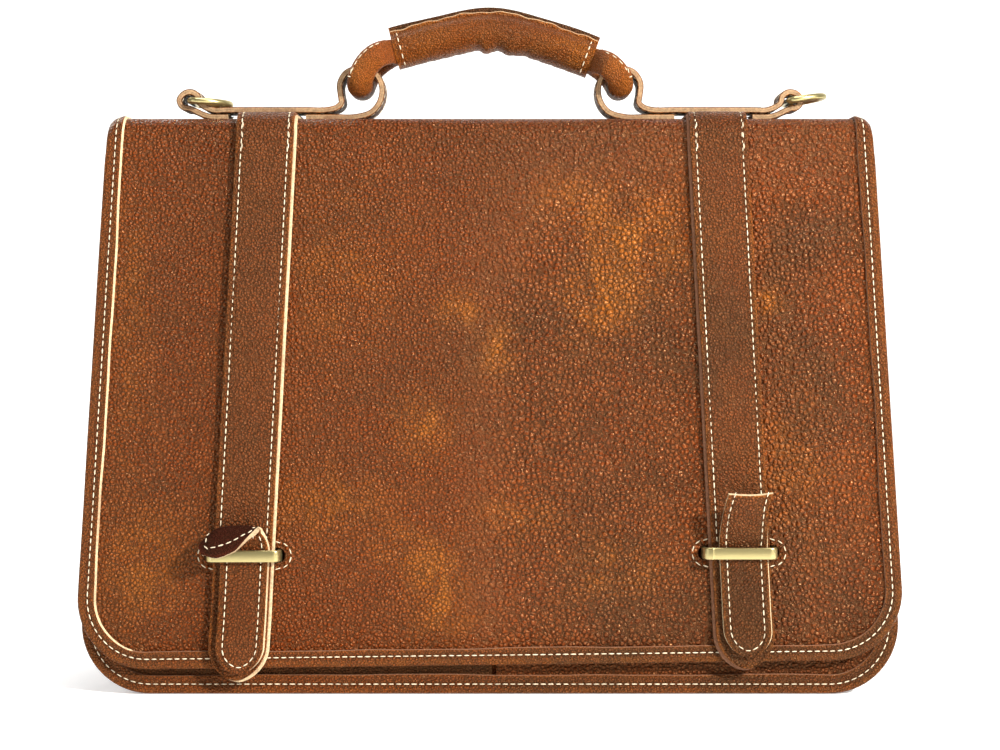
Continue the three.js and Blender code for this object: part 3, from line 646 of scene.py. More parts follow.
def waxed_mottling():
    """Soft clouds and finer streaks, as waxed pull-up leather has."""
    tree, given, result = new_group(
        "Waxed mottling",
        {"Vector": ("NodeSocketVector", None), "Scale": ("NodeSocketFloat", 14.0)},
        {"Cloud": "NodeSocketFloat", "Streak": "NodeSocketFloat"},
    )
    cloud = noise(tree, given["Vector"], given["Scale"], 4.0, 0.55, 0.6).outputs["Fac"]
    finer = sums(tree, "MULTIPLY", given["Scale"], 3.1)
    streak = noise(tree, given["Vector"], finer, 5.0, 0.62, 1.3).outputs["Fac"]
    tree.links.new(ranged(tree, cloud, 0.34, 0.72), result.inputs["Cloud"])
    tree.links.new(ranged(tree, streak, 0.34, 0.70), result.inputs["Streak"])
    return tree


def edge_wear():
    """Wear at a rim: the mark that a piece carries, broken up by fine noise."""
    tree, given, result = new_group(
        "Edge wear",
        {"Vector": ("NodeSocketVector", None), "Rim": ("NodeSocketFloat", 0.0),
         "Amount": ("NodeSocketFloat", 0.6)},
        {"Wear": "NodeSocketFloat"},
    )
    broken = noise(tree, given["Vector"], 420.0, 3.0, 0.6).outputs["Fac"]
    patches = noise(tree, given["Vector"], 60.0, 2.0).outputs["Fac"]
    worn = sums(tree, "MULTIPLY", given["Rim"], ranged(tree, broken, 0.3, 0.62))
    worn = sums(tree, "MULTIPLY", worn, ranged(tree, patches, 0.32, 0.6, 0.35))
    tree.links.new(sums(tree, "MULTIPLY", worn, given["Amount"]), result.inputs["Wear"])
    return tree


def shared_group(name, build):
    return bpy.data.node_groups.get(name) or build()


def place_group(tree, name, build, inputs):
    """A shared group placed in a material with its own values."""
    node = tree.nodes.new("ShaderNodeGroup")
    node.node_tree = shared_group(name, build)
    for socket, value in inputs.items():
        if isinstance(value, bpy.types.NodeSocket):
            tree.links.new(value, node.inputs[socket])
        else:
            node.inputs[socket].default_value = value
    return node.outputs


# Materials

def new_material(name):
    material = bpy.data.materials.new(name)
    material.use_nodes = True
    tree = material.node_tree
    tree.nodes.clear()
    shader = tree.nodes.new("ShaderNodeBsdfPrincipled")
    output = tree.nodes.new("ShaderNodeOutputMaterial")
    tree.links.new(shader.outputs[0], output.inputs["Surface"])
    return material, tree, shader


def object_place(tree):
    return add_node(tree, "ShaderNodeTexCoord").outputs["Object"]


def scaled_colour(colour, factor):
    return tuple(min(1, channel * factor) for channel in colour)


def grained_leather(name, colour, shade, rubbed, cell=1.0, depth=1.0, gloss=0.5, wear=0.5,
                    contrast=0.2, coarse=0, sheen=0.68):
    """Waxed full grain leather: mottled colour, pebbles, rubbed places and worn rims, with painted shade in
    its creases and stitch grooves and a painted highlight on each pebble's top.
    """
    material, tree, shader = new_material(name)
    grain_size = settings().grain
    place = object_place(tree)
    grain = place_group(tree, "Pebbled grain", pebbled_grain, {
        "Vector": place, "Cells per metre": 1 / (grain_size.cell * cell)})
    mottle = place_group(tree, "Waxed mottling", waxed_mottling, {"Vector": place, "Scale": 13.0})
    worn = place_group(tree, "Edge wear", edge_wear, {
        "Vector": place, "Rim": mark(tree, "rim"), "Amount": wear})
    dusky = mark(tree, "dusky")
    height, crease, dome = grain["Height"], grain["Crease"], grain["Dome"]
    if coarse:
        wide = place_group(tree, "Pebbled grain", pebbled_grain, {
            "Vector": place, "Cells per metre": 1 / (grain_size.cell * cell * coarse)})
        share = ranged(tree, dusky, 0.35, 0.8)
        height, crease, dome = (
            add_node(tree, "ShaderNodeMix", {0: share, 2: fine, 3: broad}, data_type="FLOAT").outputs[0]
            for fine, broad in ((height, wide["Height"]), (crease, wide["Crease"]), (dome, wide["Dome"])))
    cloudy = sums(tree, "MULTIPLY", mottle["Cloud"], ranged(tree, dusky, 0.0, 1.0, 0.3, 1.0))
    cloudy = sums(tree, "ADD", cloudy, sums(tree, "MULTIPLY", dusky, 0.22))
    base = blended(tree, cloudy, colour, shade)
    spots = sums(tree, "MULTIPLY", ranged(tree, mottle["Streak"], 0.0, 1.0, 0.3), mark(tree, "rubbed"))
    base = blended(tree, sums(tree, "MULTIPLY", spots, 0.85), base, rubbed)
    # Each pebble's own random tone, times painted light: lighter on its top as if lit, darker down its sides
    # as if shaded.
    pebble_tone_and_painted_relief = sums(
        tree, "MULTIPLY", ranged(tree, grain["Tone"], 0.0, 1.0, 0.90, 1.10),
        ranged(tree, dome, 0.1, 1.0, 1 - contrast, 1 + 0.55 * contrast))
    pebble_tone_and_painted_relief_colour = add_node(tree, "ShaderNodeCombineColor", {0: pebble_tone_and_painted_relief, 1: pebble_tone_and_painted_relief, 2: pebble_tone_and_painted_relief})
    base = blended(tree, 1.0, base, pebble_tone_and_painted_relief_colour.outputs[0], "MULTIPLY")
    # Painted shade: the creases between the pebbles are darkened where shade falls in them.
    base = blended(tree, sums(tree, "MULTIPLY", crease, 0.8), base, scaled_colour(shade, 0.25))
    # Painted shade: darker along the stitch grooves, where the leather dips.
    base = blended(tree, sums(tree, "MULTIPLY", mark(tree, "groove"), 0.55), base, scaled_colour(shade, 0.4))
    base = blended(tree, worn["Wear"], base, scaled_colour(rubbed, 1.3))
    tree.links.new(base, shader.inputs["Base Color"])
    rough = ranged(tree, crease, 0.0, 1.0, 1 - gloss, 0.82)
    rough = sums(tree, "ADD", rough, sums(tree, "MULTIPLY", mottle["Streak"], 0.10))
    rough = sums(tree, "SUBTRACT", rough, sums(tree, "MULTIPLY", grain["Tone"], 0.10))
    tree.links.new(rough, shader.inputs["Roughness"])
    bump = add_node(tree, "ShaderNodeBump", {
        "Strength": 1.0, "Distance": grain_size.depth * depth, "Height": height})
    tree.links.new(bump.outputs[0], shader.inputs["Normal"])
    shader.inputs["Specular IOR Level"].default_value = sheen
    shader.inputs["Specular Tint"].default_value = (1.0, 0.64, 0.30, 1)
    return material


def cut_edge(name, colour, dark_share=0.35):
    """Raw cut leather: pale layered fibres with darker, dyed stretches."""
    material, tree, shader = new_material(name)
    place = object_place(tree)
    fibres = noise(tree, place, 900.0, 4.0, 0.7).outputs["Fac"]
    stretches = noise(tree, place, 38.0, 3.0, 0.6).outputs["Fac"]
    base = blended(tree, ranged(tree, fibres, 0.3, 0.7), colour, scaled_colour(colour, 0.55))
    dyed_and_shaded = sums(tree, "MULTIPLY", ranged(tree, stretches, 0.48, 0.68), dark_share)
    base = blended(tree, dyed_and_shaded, base, (0.20, 0.075, 0.03))
    tree.links.new(base, shader.inputs["Base Color"])
    tree.links.new(ranged(tree, fibres, 0.2, 0.8, 0.7, 0.95), shader.inputs["Roughness"])
    bump = add_node(tree, "ShaderNodeBump", {"Strength": 0.8, "Distance": 0.2 * MM, "Height": fibres})
    tree.links.new(bump.outputs[0], shader.inputs["Normal"])
    return material


def flesh_side(name, colour):
    """The suede side of leather: matt, napped and a little uneven."""
    material, tree, shader = new_material(name)
    place = object_place(tree)
    nap = noise(tree, place, 700.0, 5.0, 0.7).outputs["Fac"]
    patches = noise(tree, place, 30.0, 3.0).outputs["Fac"]
    base = blended(tree, ranged(tree, patches, 0.35, 0.65), colour, scaled_colour(colour, 0.7))
    base = blended(tree, ranged(tree, nap, 0.4, 0.75), base, scaled_colour(colour, 1.25))
    tree.links.new(base, shader.inputs["Base Color"])
    tree.links.new(ranged(tree, nap, 0.2, 0.8, 0.85, 0.97), shader.inputs["Roughness"])
    bump = add_node(tree, "ShaderNodeBump", {"Strength": 0.7, "Distance": 0.15 * MM, "Height": nap})
    tree.links.new(bump.outputs[0], shader.inputs["Normal"])
    return material


def waxed_thread(name, colour):
    material, tree, shader = new_material(name)
    place = object_place(tree)
    soil = noise(tree, place, 55.0, 4.0, 0.6).outputs["Fac"]
    strands = noise(tree, place, 1800.0, 2.0).outputs["Fac"]
    base = blended(tree, ranged(tree, soil, 0.42, 0.72), colour, scaled_colour(colour, 0.62))
    tree.links.new(base, shader.inputs["Base Color"])
    tree.links.new(ranged(tree, strands, 0.2, 0.8, 0.55, 0.8), shader.inputs["Roughness"])
    bump = add_node(tree, "ShaderNodeBump", {"Strength": 0.5, "Distance": 0.1 * MM, "Height": strands})
    tree.links.new(bump.outputs[0], shader.inputs["Normal"])
    return material


def aged_brass(name, colour):
    """Brushed brass with a dull film, bright where it is rubbed."""
    material, tree, shader = new_material(name)
    place = object_place(tree)
    lines = add_node(tree, "ShaderNodeVectorMath", {
        0: place, 1: (60, 900, 900)}, operation="MULTIPLY").outputs[0]
    brushed = noise(tree, lines, 1.0, 4.0, 0.6).outputs["Fac"]
    film = noise(tree, place, 110.0, 4.0, 0.6).outputs["Fac"]
    pits = noise(tree, place, 520.0, 2.0).outputs["Fac"]
    dull = ranged(tree, film, 0.42, 0.68)
    base = blended(tree, sums(tree, "MULTIPLY", dull, 0.75), colour, scaled_colour(colour, 0.45))
    pitted = sums(tree, "MULTIPLY", ranged(tree, pits, 0.62, 0.74), 0.7)
    base = blended(tree, pitted, base, (0.10, 0.065, 0.03))
    tree.links.new(base, shader.inputs["Base Color"])
    rough = ranged(tree, dull, 0.0, 1.0, 0.24, 0.46)
    rough = sums(tree, "ADD", rough, sums(tree, "MULTIPLY", brushed, 0.14))
    tree.links.new(rough, shader.inputs["Roughness"])
    shader.inputs["Metallic"].default_value = 1.0
    bump = add_node(tree, "ShaderNodeBump", {"Strength": 0.35, "Distance": 0.05 * MM, "Height": brushed})
    tree.links.new(bump.outputs[0], shader.inputs["Normal"])
    return material


def studio_floor(name):
    material, _, shader = new_material(name)
    shader.inputs["Base Color"].default_value = (0.93, 0.93, 0.92, 1)
    shader.inputs["Roughness"].default_value = 0.9
    shader.inputs["Emission Color"].default_value = (1, 1, 1, 1)
    shader.inputs["Emission Strength"].default_value = 0.35
    return material


def build_finish(name):
    colours = settings().colours
    flap, shade, rubbed = tuple(colours.flap), tuple(colours.flap_dark), tuple(colours.flap_rubbed)
    edge = tuple(colours.raw_edge)
    strap, dark, handle = tuple(colours.strap), tuple(colours.dark), tuple(colours.handle)
    binding = tuple(colours.binding)
    if name == "flap leather":
        return grained_leather(name, flap, shade, rubbed, gloss=0.72, coarse=1.3)
    if name == "body leather":
        return grained_leather(name, scaled_colour(flap, 0.85), shade, rubbed, gloss=0.62)
    if name == "binding leather":
        return grained_leather(name, binding, scaled_colour(shade, 0.9), rubbed, 0.7, 0.9, 0.62, 0.35)
    if name == "strap leather":
        return grained_leather(name, strap, scaled_colour(shade, 0.85), rubbed, 0.8, 1.0, 0.62, 0.55)
    if name == "dark leather and fin shade":
        return grained_leather(name, dark, scaled_colour(dark, 0.6), rubbed, 0.7, 0.6, 0.5, 0.6)
    if name == "handle leather":
        return grained_leather(name, handle, scaled_colour(shade, 1.3), rubbed, 0.6, 0.8, 0.66, 0.6)
    if name == "loop leather":
        return grained_leather(
            name, scaled_colour(handle, 1.35), scaled_colour(handle, 0.6), rubbed, 0.5, 0.5, 0.52, 0.6)
    if name == "lining leather":
        return grained_leather(
            name, (0.030, 0.0030, 0.0020), (0.016, 0.002, 0.0015), (0.06, 0.008, 0.004), 0.5, 0.3, sheen=0.2)
    if name == "raw edge":
        return cut_edge(name, edge)
    # The dark cut edge: a dyed edge colour, and painted shade on the cut edges that face away from the key
    # light.
    if name == "dark edge with dye and painted shade":
        return cut_edge(name, (0.24, 0.10, 0.045), 0.8)
    if name == "tan edge":
        return cut_edge(name, (0.50, 0.31, 0.16), 0.5)
    if name == "flesh side":
        return flesh_side(name, (0.16, 0.065, 0.03))
    if name == "thread":
        return waxed_thread(name, tuple(colours.thread))
    if name == "brass":
        return aged_brass(name, tuple(colours.brass))
    if name == "studio floor":
        return studio_floor(name)
    raise ValueError(f"no finish is named {name}")


def finish(name):
    return bpy.data.materials.get(name) or build_finish(name)


def finishes(*names):
    return [finish(name) for name in names]


# Rubbed golden places on the front, and its dusky side: places in millimetres, and their reach
RUBBED_PLACES = (
    {"x": 73, "z": 222, "wide": 26, "high": 20, "much": 0.75},
    {"x": 54, "z": 192, "wide": 16, "high": 15, "much": 0.85},
    {"x": 36, "z": 240, "wide": 22, "high": 12, "much": 0.5},
    {"x": 3, "z": 168, "wide": 7, "high": 11, "much": 1.0},
    {"x": -14, "z": 189, "wide": 10, "high": 8, "much": 0.8},
    {"x": -34, "z": 128, "wide": 12, "high": 14, "much": 0.85},
    {"x": -22, "z": 50, "wide": 13, "high": 19, "much": 0.95},
    {"x": -78, "z": 92, "wide": 24, "high": 18, "much": 0.55},
    {"x": -70, "z": 205, "wide": 22, "high": 30, "much": 0.45},
    {"x": -40, "z": 70, "wide": 20, "high": 12, "much": 0.5},
    {"x": 15, "z": 88, "wide": 18, "high": 10, "much": 0.5},
    {"x": 137, "z": 192, "wide": 7, "high": 5, "much": 1.0},
    {"x": -168, "z": 62, "wide": 20, "high": 26, "much": 0.55},
    {"x": -176, "z": 180, "wide": 10, "high": 60, "much": 0.35},
    {"x": 60, "z": 62, "wide": 22, "high": 14, "much": 0.4},
    {"x": 150, "z": 110, "wide": 20, "high": 34, "much": 0.35},
)


def colour_marks(points):
    """How rubbed and how dusky the leather is at points in millimetres."""
    x, z = points[..., 0], points[..., 2]
    rubbed = 0.08
    for patch in RUBBED_PLACES:
        across, along = (x - patch["x"]) / patch["wide"], (z - patch["z"]) / patch["high"]
        rubbed = rubbed + patch["much"] * np.exp(-across ** 2 - along ** 2)
    dusky = 0.25 + 0.75 * smooth_step(x, -60, 60) * (1 - 0.5 * smooth_step(z, 180, 270))
    front = points[..., 1] < 0
    return {"rubbed": np.where(front, np.clip(rubbed, 0, 1), 0.12), "dusky": np.where(front, dusky, 0.5)}


def marked(points, **more):
    marks = colour_marks(points)
    marks.update(more)
    return marks


# Panels, pockets and gusset

def u_rows(half_width, bottom, sides, radius, inset):
    """The right half of an inset panel edge, from the top down: x and z."""
    edge = u_edge(half_width, bottom, sides, radius)
    half = edge[: len(edge) // 2]
    return -(half[:, 0] - half[:, 2] * inset), half[:, 1] - half[:, 3] * inset


def panel(name, place, depth, thickness, top, columns=90):
    """A flat panel with a rounded lower outline, between two depths."""
    x, z = u_rows(body_half_width, 0, spaced(top, CORNER_RADIUS, step=6)[:-1], CORNER_RADIUS, PANEL_INSET)
    share = np.linspace(-1, 1, columns)
    wide, high = np.outer(x, share), np.outer(z, np.ones(columns))
    outer, inner = place(wide, high, depth), place(wide, high, depth + thickness)
    return wall(name, inner, outer, finishes("body leather", "flesh side", "raw edge"), marked(outer))


def pocket(name, way, leather):
    """One of the two flat pockets that meet under the flap's hem."""
    sides = spaced(POCKET_HEIGHT, CORNER_RADIUS, step=6)[:-1]
    x, z = u_rows(body_half_width, 0, sides, CORNER_RADIUS, PANEL_INSET)
    seam = POCKET_SPLIT + way * POCKET_GAP / 2
    share = np.linspace(0, 1, 50)
    wide = seam + np.outer(way * x - seam, share)
    high = np.outer(z, np.ones(len(share)))
    puff = 0.5 * np.exp(-((wide - seam) / 14) ** 2) * smooth_step(high, 4, 14)
    outer = on_front(wide, high, POCKET_FACE - puff)
    inner = on_front(wide, high, POCKET_FACE + POCKET_THICKNESS)
    return wall(name, inner, outer, finishes(leather, "flesh side", "raw edge"), marked(outer))


def gusset_wall():
    """One wall round both sides and the bottom, folded inwards up its sides."""
    top = BODY_HEIGHT - GUSSET_TOP_DROP
    edge = u_edge(body_half_width, 0, spaced(top, CORNER_RADIUS, step=5)[:-1], CORNER_RADIUS)
    rise = np.clip((edge[:, 1] - CORNER_RADIUS) / (top - CORNER_RADIUS), 0, 1)[:, None]
    across = np.linspace(0, 1, 41)
    fold = np.exp(-(np.abs(across - 0.5) / 0.24) ** 1.7)
    flange_in = np.linspace(0, FLANGE_LENGTH, 4)[:-1]
    share = np.concatenate([np.zeros(3), across, np.ones(3)])
    wall_in = np.concatenate([flange_in, np.full(41, FLANGE_LENGTH), flange_in[::-1]])
    crease = np.concatenate([np.zeros(3), fold - fold[0], np.zeros(3)])
    soft = 0.7 * np.sin(edge[:, 1:2] / 19 + share * 5) * np.sin(math.pi * share) * rise

    def skin(thickness):
        shift = np.concatenate([np.full(3, 1), np.zeros(41), np.full(3, -1)]) * thickness
        inwards = PANEL_INSET + wall_in + crease * GUSSET_CREASE * rise + soft
        inwards = inwards + np.where(shift == 0, GUSSET_THICKNESS - thickness, 0)
        height = edge[:, 1:2] - edge[:, 3:4] * inwards
        front = FRONT_FLANGE_FACE - body_half_depth(height)
        back = body_half_depth(height) - BACK_FLANGE_FACE
        x = edge[:, 0:1] - edge[:, 2:3] * inwards
        y = lerp(front, back, share) + shift
        return np.stack([x, y, height], axis=-1)

    outer, inner = skin(GUSSET_THICKNESS), skin(0)
    materials = finishes("body leather", "flesh side", "raw edge")
    return wall("gusset_leather", inner, outer, materials, marked(outer))


# Bindings: leather folded round an edge, stitched through, its inner edge left raw
RAW_BEVEL = 0.08
RAW_BEVEL_SPREAD = 0.55

def binding_section(near, far, near_width, far_width, thickness=BINDING_THICKNESS, stitch=5.0):
    """Outline of a folded edging (inwards, depth), with its finish and marks at each point."""
    front_leg = np.array([near_width, near_width - 0.25, near_width - 0.7, near_width - 1.4,
                          stitch + 1.6, stitch + 0.7, stitch, stitch - 0.7, stitch - 1.4, 2.6])
    dip = 0.38 * np.exp(-((front_leg - stitch) / 0.75) ** 2)
    ease = np.array([0.42, 0.12, 0.02, 0, 0, 0, 0, 0, 0, 0])
    front = np.stack([front_leg, near + dip + ease], axis=1)
    turn = np.linspace(0, math.pi, 11)[1:-1]
    middle, half = (near + far) / 2, (far - near) / 2
    swing = np.sign(np.cos(turn)) * np.abs(np.cos(turn)) ** 0.75
    roll = np.stack([1.3 - 1.3 * np.sin(turn) ** 0.8, middle - half * swing], axis=1)
    back = np.array([
        [2.6, far], [far_width - 0.6, far], [far_width - 0.2, far - 0.15], [far_width, far - 0.45],
    ])
    inside = np.array([
        [far_width, far - thickness + 0.1], [thickness + 0.6, far - thickness], [thickness, middle],
        [thickness + 0.6, near + thickness], [near_width + RAW_BEVEL, near + thickness + 0.1],
    ])
    points = np.concatenate([front, roll, back, inside])
    count = len(points)
    finish_of = np.zeros(count, int)
    finish_of[len(front) + len(roll) + 3] = 1
    finish_of[count - 1] = 1
    finish_of[0] = 1
    rim = np.zeros(count)
    rim[:3] = [1, 0.9, 0.4]
    rim[len(front) - 1: len(front) + len(roll)] = 0.5
    groove = np.zeros(count)
    groove[: len(front)] = np.exp(-((front_leg - stitch) / 0.8) ** 2)
    return points, finish_of.tolist(), rim, groove


def binding(name, edge, place, section, leather, raw="raw edge", unevenness=0.35):
    points, finish_of, rim, groove = section
    along = np.cumsum(np.r_[0, np.linalg.norm(np.diff(edge[:, :2], axis=0), axis=1)])
    waves = np.sin(along / 13) * 0.6 + np.sin(along / 31 + 1) * 0.6 + np.sin(along / 5.3) * 0.2
    wobble = unevenness * waves
    rings = []
    raw_foot = np.arange(len(points)) == len(points) - 1
    for (x, z, nx, nz), shift in zip(edge, wobble):
        inwards = points[:, 0] + shift * (rim > 0.3) * (points[:, 0] > 6)
        inwards = inwards + raw_foot * (shift + RAW_BEVEL_SPREAD * max(0, -nx))
        rings.append(place(x - nx * inwards, z - nz * inwards, points[:, 1]))
    rings = np.array(rings)
    count = len(rings)
    marks = marked(rings, rim=np.tile(rim, count), groove=np.tile(groove, count))
    # Painted light on the inner cut edge: on the left side it faces the key light and keeps the given raw
    # finish; elsewhere it takes the dark edge colour as painted shade.
    dyed_and_shaded = [[2 if kind else 0 for kind in finish_of], finish_of]
    finish_rows = [dyed_and_shaded[int(nx < -0.35)] for nx in edge[:, 2]]
    return sweep(name, rings, finishes(leather, raw, "dark edge with dye and painted shade"), finish_rows, marks=marks, bend_angle=50)


# The body of the case

FRONT_CHANNEL_DEPTH = FRONT_FLANGE_FACE + GUSSET_THICKNESS + CLEARANCE + BINDING_THICKNESS
BACK_CHANNEL_DEPTH = BACK_FLANGE_FACE + GUSSET_THICKNESS + CLEARANCE + BINDING_THICKNESS
BACK_LEG = FLANGE_LENGTH + PANEL_INSET - 2 * CLEARANCE - BINDING_THICKNESS
BINDING_STITCH = 5.0
HEM_STATIONS = 59


def body_edge():
    return u_edge(body_half_width, 0, spaced(PANEL_TOP, CORNER_RADIUS, step=5)[:-1], CORNER_RADIUS)


def flap_edge(inset=0.0):
    fade_end = HEM_HEIGHT + SKEW_FADE
    sides = spaced(FLAP_END, BACK_START, step=5)
    for a, b, step in (
        (BACK_START, TOP_END, 1.1), (TOP_END, TOP_START, 4), (TOP_START, BEND_START, 1.1),
        (BEND_START, fade_end, 5), (fade_end, HEM_HEIGHT + CORNER_RADIUS, 5),
    ):
        sides = np.concatenate([sides, spaced(a, b, step=step)[1:]])
    edge = u_edge(flap_half_width, HEM_HEIGHT, sides[:-1], CORNER_RADIUS)
    wide = np.linspace(edge[len(edge) // 2 - 1, 0], edge[len(edge) // 2, 0], HEM_STATIONS + 2)[1:-1]
    level = np.ones(HEM_STATIONS)
    hem = np.stack([wide, level * HEM_HEIGHT, level * 0, -level], axis=1)
    edge = np.concatenate([edge[: len(edge) // 2], hem, edge[len(edge) // 2:]])
    edge[:, :2] -= edge[:, 2:] * inset
    return edge


def with_bottom(edge, count=60):
    """The same edge with stations along its straight bottom too."""
    half = len(edge) // 2
    wide = np.linspace(edge[half - 1, 0], edge[half, 0], count + 2)[1:-1]
    level = np.full(count, edge[half, 1])
    bottom = np.stack([wide, level, np.zeros(count), np.full(count, -1.0)], axis=1)
    return np.concatenate([edge[:half], bottom, edge[half:]])


class CASE_OT_body(Operator):
    """Front and back walls, the two pockets, the gusset and the body's bindings"""
    bl_idname = "leather_case.body"
    bl_label = "Body"

    def execute(self, context):
        front = panel("front_wall", on_front, FRONT_PANEL_FACE, PANEL_THICKNESS, PANEL_TOP)
        add_piece(front, "case", "leather_body", "front_panel")
        back = panel("back_wall", on_back, BACK_PANEL_FACE, PANEL_THICKNESS, PANEL_TOP)
        add_piece(back, "case", "leather_body", "back_panel")
        left = pocket("left_pocket", -1, "dark leather and fin shade")
        add_piece(left, "case", "leather_dark", "pocket_left")
        right = pocket("right_pocket", 1, "body leather")
        add_piece(right, "case", "leather_body", "pocket_right")
        add_piece(gusset_wall(), "case", "leather_body", "gusset")
        edge = with_bottom(body_edge())
        front_section = binding_section(0, FRONT_CHANNEL_DEPTH, BODY_BINDING_WIDTH, BACK_LEG)
        front_fold = binding("front_fold", edge, on_front, front_section, "binding leather", "dark edge with dye and painted shade")
        add_piece(front_fold, "case", "leather_binding", "front_binding")
        back_section = binding_section(0, BACK_CHANNEL_DEPTH, BODY_BINDING_WIDTH, BACK_LEG)
        back_fold = binding("back_fold", edge, on_back, back_section, "binding leather", "dark edge with dye and painted shade")
        add_piece(back_fold, "case", "leather_binding", "back_binding")
        return {"FINISHED"}


# The flap with its slots, and its binding

SLOT_RADIUS = SLOT_HEIGHT / 2
CUTTER_REACH = 3
SLOT_END = SLOT_RADIUS - math.sqrt(SLOT_RADIUS ** 2 - (STAPLE_HEIGHT / 2 + CLEARANCE) ** 2)
SLOT_WIDTH = STAPLE_WIDTH + 2 * SLOT_END
SLOT_SEAM_REACH = 2.75


def stadium(reach, radius, count=10):
    """A slot's outline: two half circles joined by straight edges."""
    turn = np.linspace(-math.pi / 2, math.pi / 2, count + 1)
    right = np.stack([reach + radius * np.cos(turn), radius * np.sin(turn)], axis=1)
    left = -right
    return np.concatenate([right, left])


def slot_ring(side, grow=0.0):
    outline = stadium(SLOT_WIDTH / 2 - SLOT_RADIUS, SLOT_RADIUS + grow)
    return outline + np.array([strap_centre(side, side["bar"]), side["bar"]])


def flap_sheet():
    edge = flap_edge(PANEL_INSET)
    rows = edge[: len(edge) // 2 - 29]
    share = np.linspace(-1, 1, 131)
    wide = np.outer(-rows[:, 0], share)
    way = np.outer(rows[:, 1], np.ones(len(share)))
    inner, outer = on_hem_flap(wide, way, 0), on_hem_flap(wide, way, FLAP_THICKNESS)
    materials = finishes("flap leather", "flesh side", "dark edge with dye and painted shade")
    sheet = wall("flap_leather", inner, outer, materials, marked(outer))
    for side in STRAPS:
        ring = slot_ring(side)
        rises = (-CUTTER_REACH, FLAP_THICKNESS + CUTTER_REACH)
        levels = [on_flap(ring[:, 0], ring[:, 1], rise) for rise in rises]
        cutter = sweep("slot_cutter", levels, finishes("dark edge with dye and painted shade"))
        cut = sheet.modifiers.new("slot", "BOOLEAN")
        cut.operation, cut.solver, cut.object = "DIFFERENCE", "EXACT", cutter
        settle(sheet)
        bpy.data.objects.remove(cutter)
    return sheet


def settle(piece):
    """Turn a piece's modifiers into plain mesh."""
    bpy.context.view_layer.update()
    graph = bpy.context.evaluated_depsgraph_get()
    mesh = bpy.data.meshes.new_from_object(piece.evaluated_get(graph))
    piece.modifiers.clear()
    piece.data = mesh


class CASE_OT_flap(Operator):
    """The flap, cut for the staples, and the binding round it"""
    bl_idname = "leather_case.flap"
    bl_label = "Flap"

    def execute(self, context):
        add_piece(flap_sheet(), "case", "leather_body", "flap")
        near, far = FLAP_THICKNESS + CLEARANCE + BINDING_THICKNESS, -CLEARANCE - BINDING_THICKNESS
        section = binding_section(-near, -far, FLAP_BINDING_WIDTH, FLAP_BINDING_WIDTH)

        def place(x, s, depth):
            return on_hem_flap(x, s, -depth)

        fold = binding("flap_fold", flap_edge(), place, section, "binding leather")
        add_piece(fold, "case", "leather_binding", "flap_binding")
        return {"FINISHED"}


# Straps and tongues

def strap_grid(side, width, tip, thickness, rise_of, tip_length, stations, shift=0.0, offset=0.0,
               groove=0.32):
    """Two grids and marks for a strip that lies on the flap, with a rounded tip."""
    columns, distance = strip_columns(width)
    share = tip_share(stations - tip, tip_length)[:, None]
    height = edge_height(distance, thickness, 0.7, 2.8, groove)
    height = thickness - (thickness - height) * np.minimum(1, share * 3)
    wide = strap_centre(side, stations)[:, None] + shift + offset + columns * share
    way = np.outer(stations, np.ones(len(columns)))
    rise = rise_of(stations)[:, None]
    lift = np.where(stations > STEP_END + 5, 0.25 * np.sin(stations / 21 + side["way"]), 0)[:, None]
    inner, outer = on_flap(wide, way, rise + np.maximum(lift, 0)), on_flap(wide, way, rise + lift + height)
    rim = np.exp(-distance / 0.7) * np.ones_like(share)
    dip = np.exp(-((distance - 2.8) / 0.8) ** 2) * np.ones_like(share)
    tip_rim = np.exp(-np.maximum(stations - tip, 0) / 1.0)[:, None]
    return inner, outer, np.maximum(rim, tip_rim), dip


def tip_stations(tip, length, count=22):
    return tip + length * np.linspace(0, 1, count) ** 2.1


def joined(name, pieces):
    bpy.ops.object.select_all(action="DESELECT")
    for piece in pieces:
        piece.select_set(True)
    bpy.context.view_layer.objects.active = pieces[0]
    bpy.ops.object.join()
    pieces[0].name = name
    return pieces[0]


PLY = STRAP_THICKNESS / 2
PLY_STEP = 1.3


def strap_stations(tip, tip_length):
    marks = (tip + tip_length, STEP_START, STEP_END, BEND_START)
    shaft = spaced(*marks, step=3.5)[1:]
    over = [spaced(BEND_START, TOP_START, step=1.2)[1:], spaced(TOP_START, TOP_END, step=4)[1:],
            spaced(TOP_END, BACK_START, step=1.2)[1:], spaced(BACK_START, FLAP_END, step=4)[1:]]
    return np.concatenate([tip_stations(tip, tip_length), shaft, *over])


def doubled_strap(side):
    """Two plies sewn together: the lower one stands out beside the upper one."""
    length = STRAP_WIDTH * TIP_SHARE
    stations = strap_stations(side["tip"], length)
    stepped = -side["way"] * PLY_STEP / 2
    plies = []
    layers = (("under", 0.0, stepped, strap_rise), ("face", 0.9, -stepped, lambda s: strap_rise(s) + PLY))
    for layer, higher, offset, rise_of in layers:
        width = STRAP_WIDTH - PLY_STEP
        tip_up = np.maximum(stations, side["tip"] + higher)
        groove = 0.3 if layer == "face" else 0
        inner, outer, rim, dip = strap_grid(
            side, width, side["tip"] + higher, PLY - 0.06, rise_of, length, tip_up, 0, offset, groove)
        # Painted light on the strap's cut edges and under ply: on the left strap they take the pale raw edge
        # as if lit from the right, on the right strap the dark edge as painted shade.
        lit_left_shaded_right_edge = "raw edge" if side["way"] < 0 else "dark edge with dye and painted shade"
        grain = "strap leather" if layer == "face" else lit_left_shaded_right_edge
        names = (grain, "flesh side", lit_left_shaded_right_edge if layer == "under" else "dark edge with dye and painted shade")
        marks = marked(outer, rim=rim, groove=dip * (layer == "face"))
        plies.append(wall(f"{layer}_ply", inner, outer, finishes(*names), marks))
    return joined(f"strap_{side['name']}_leather", plies)


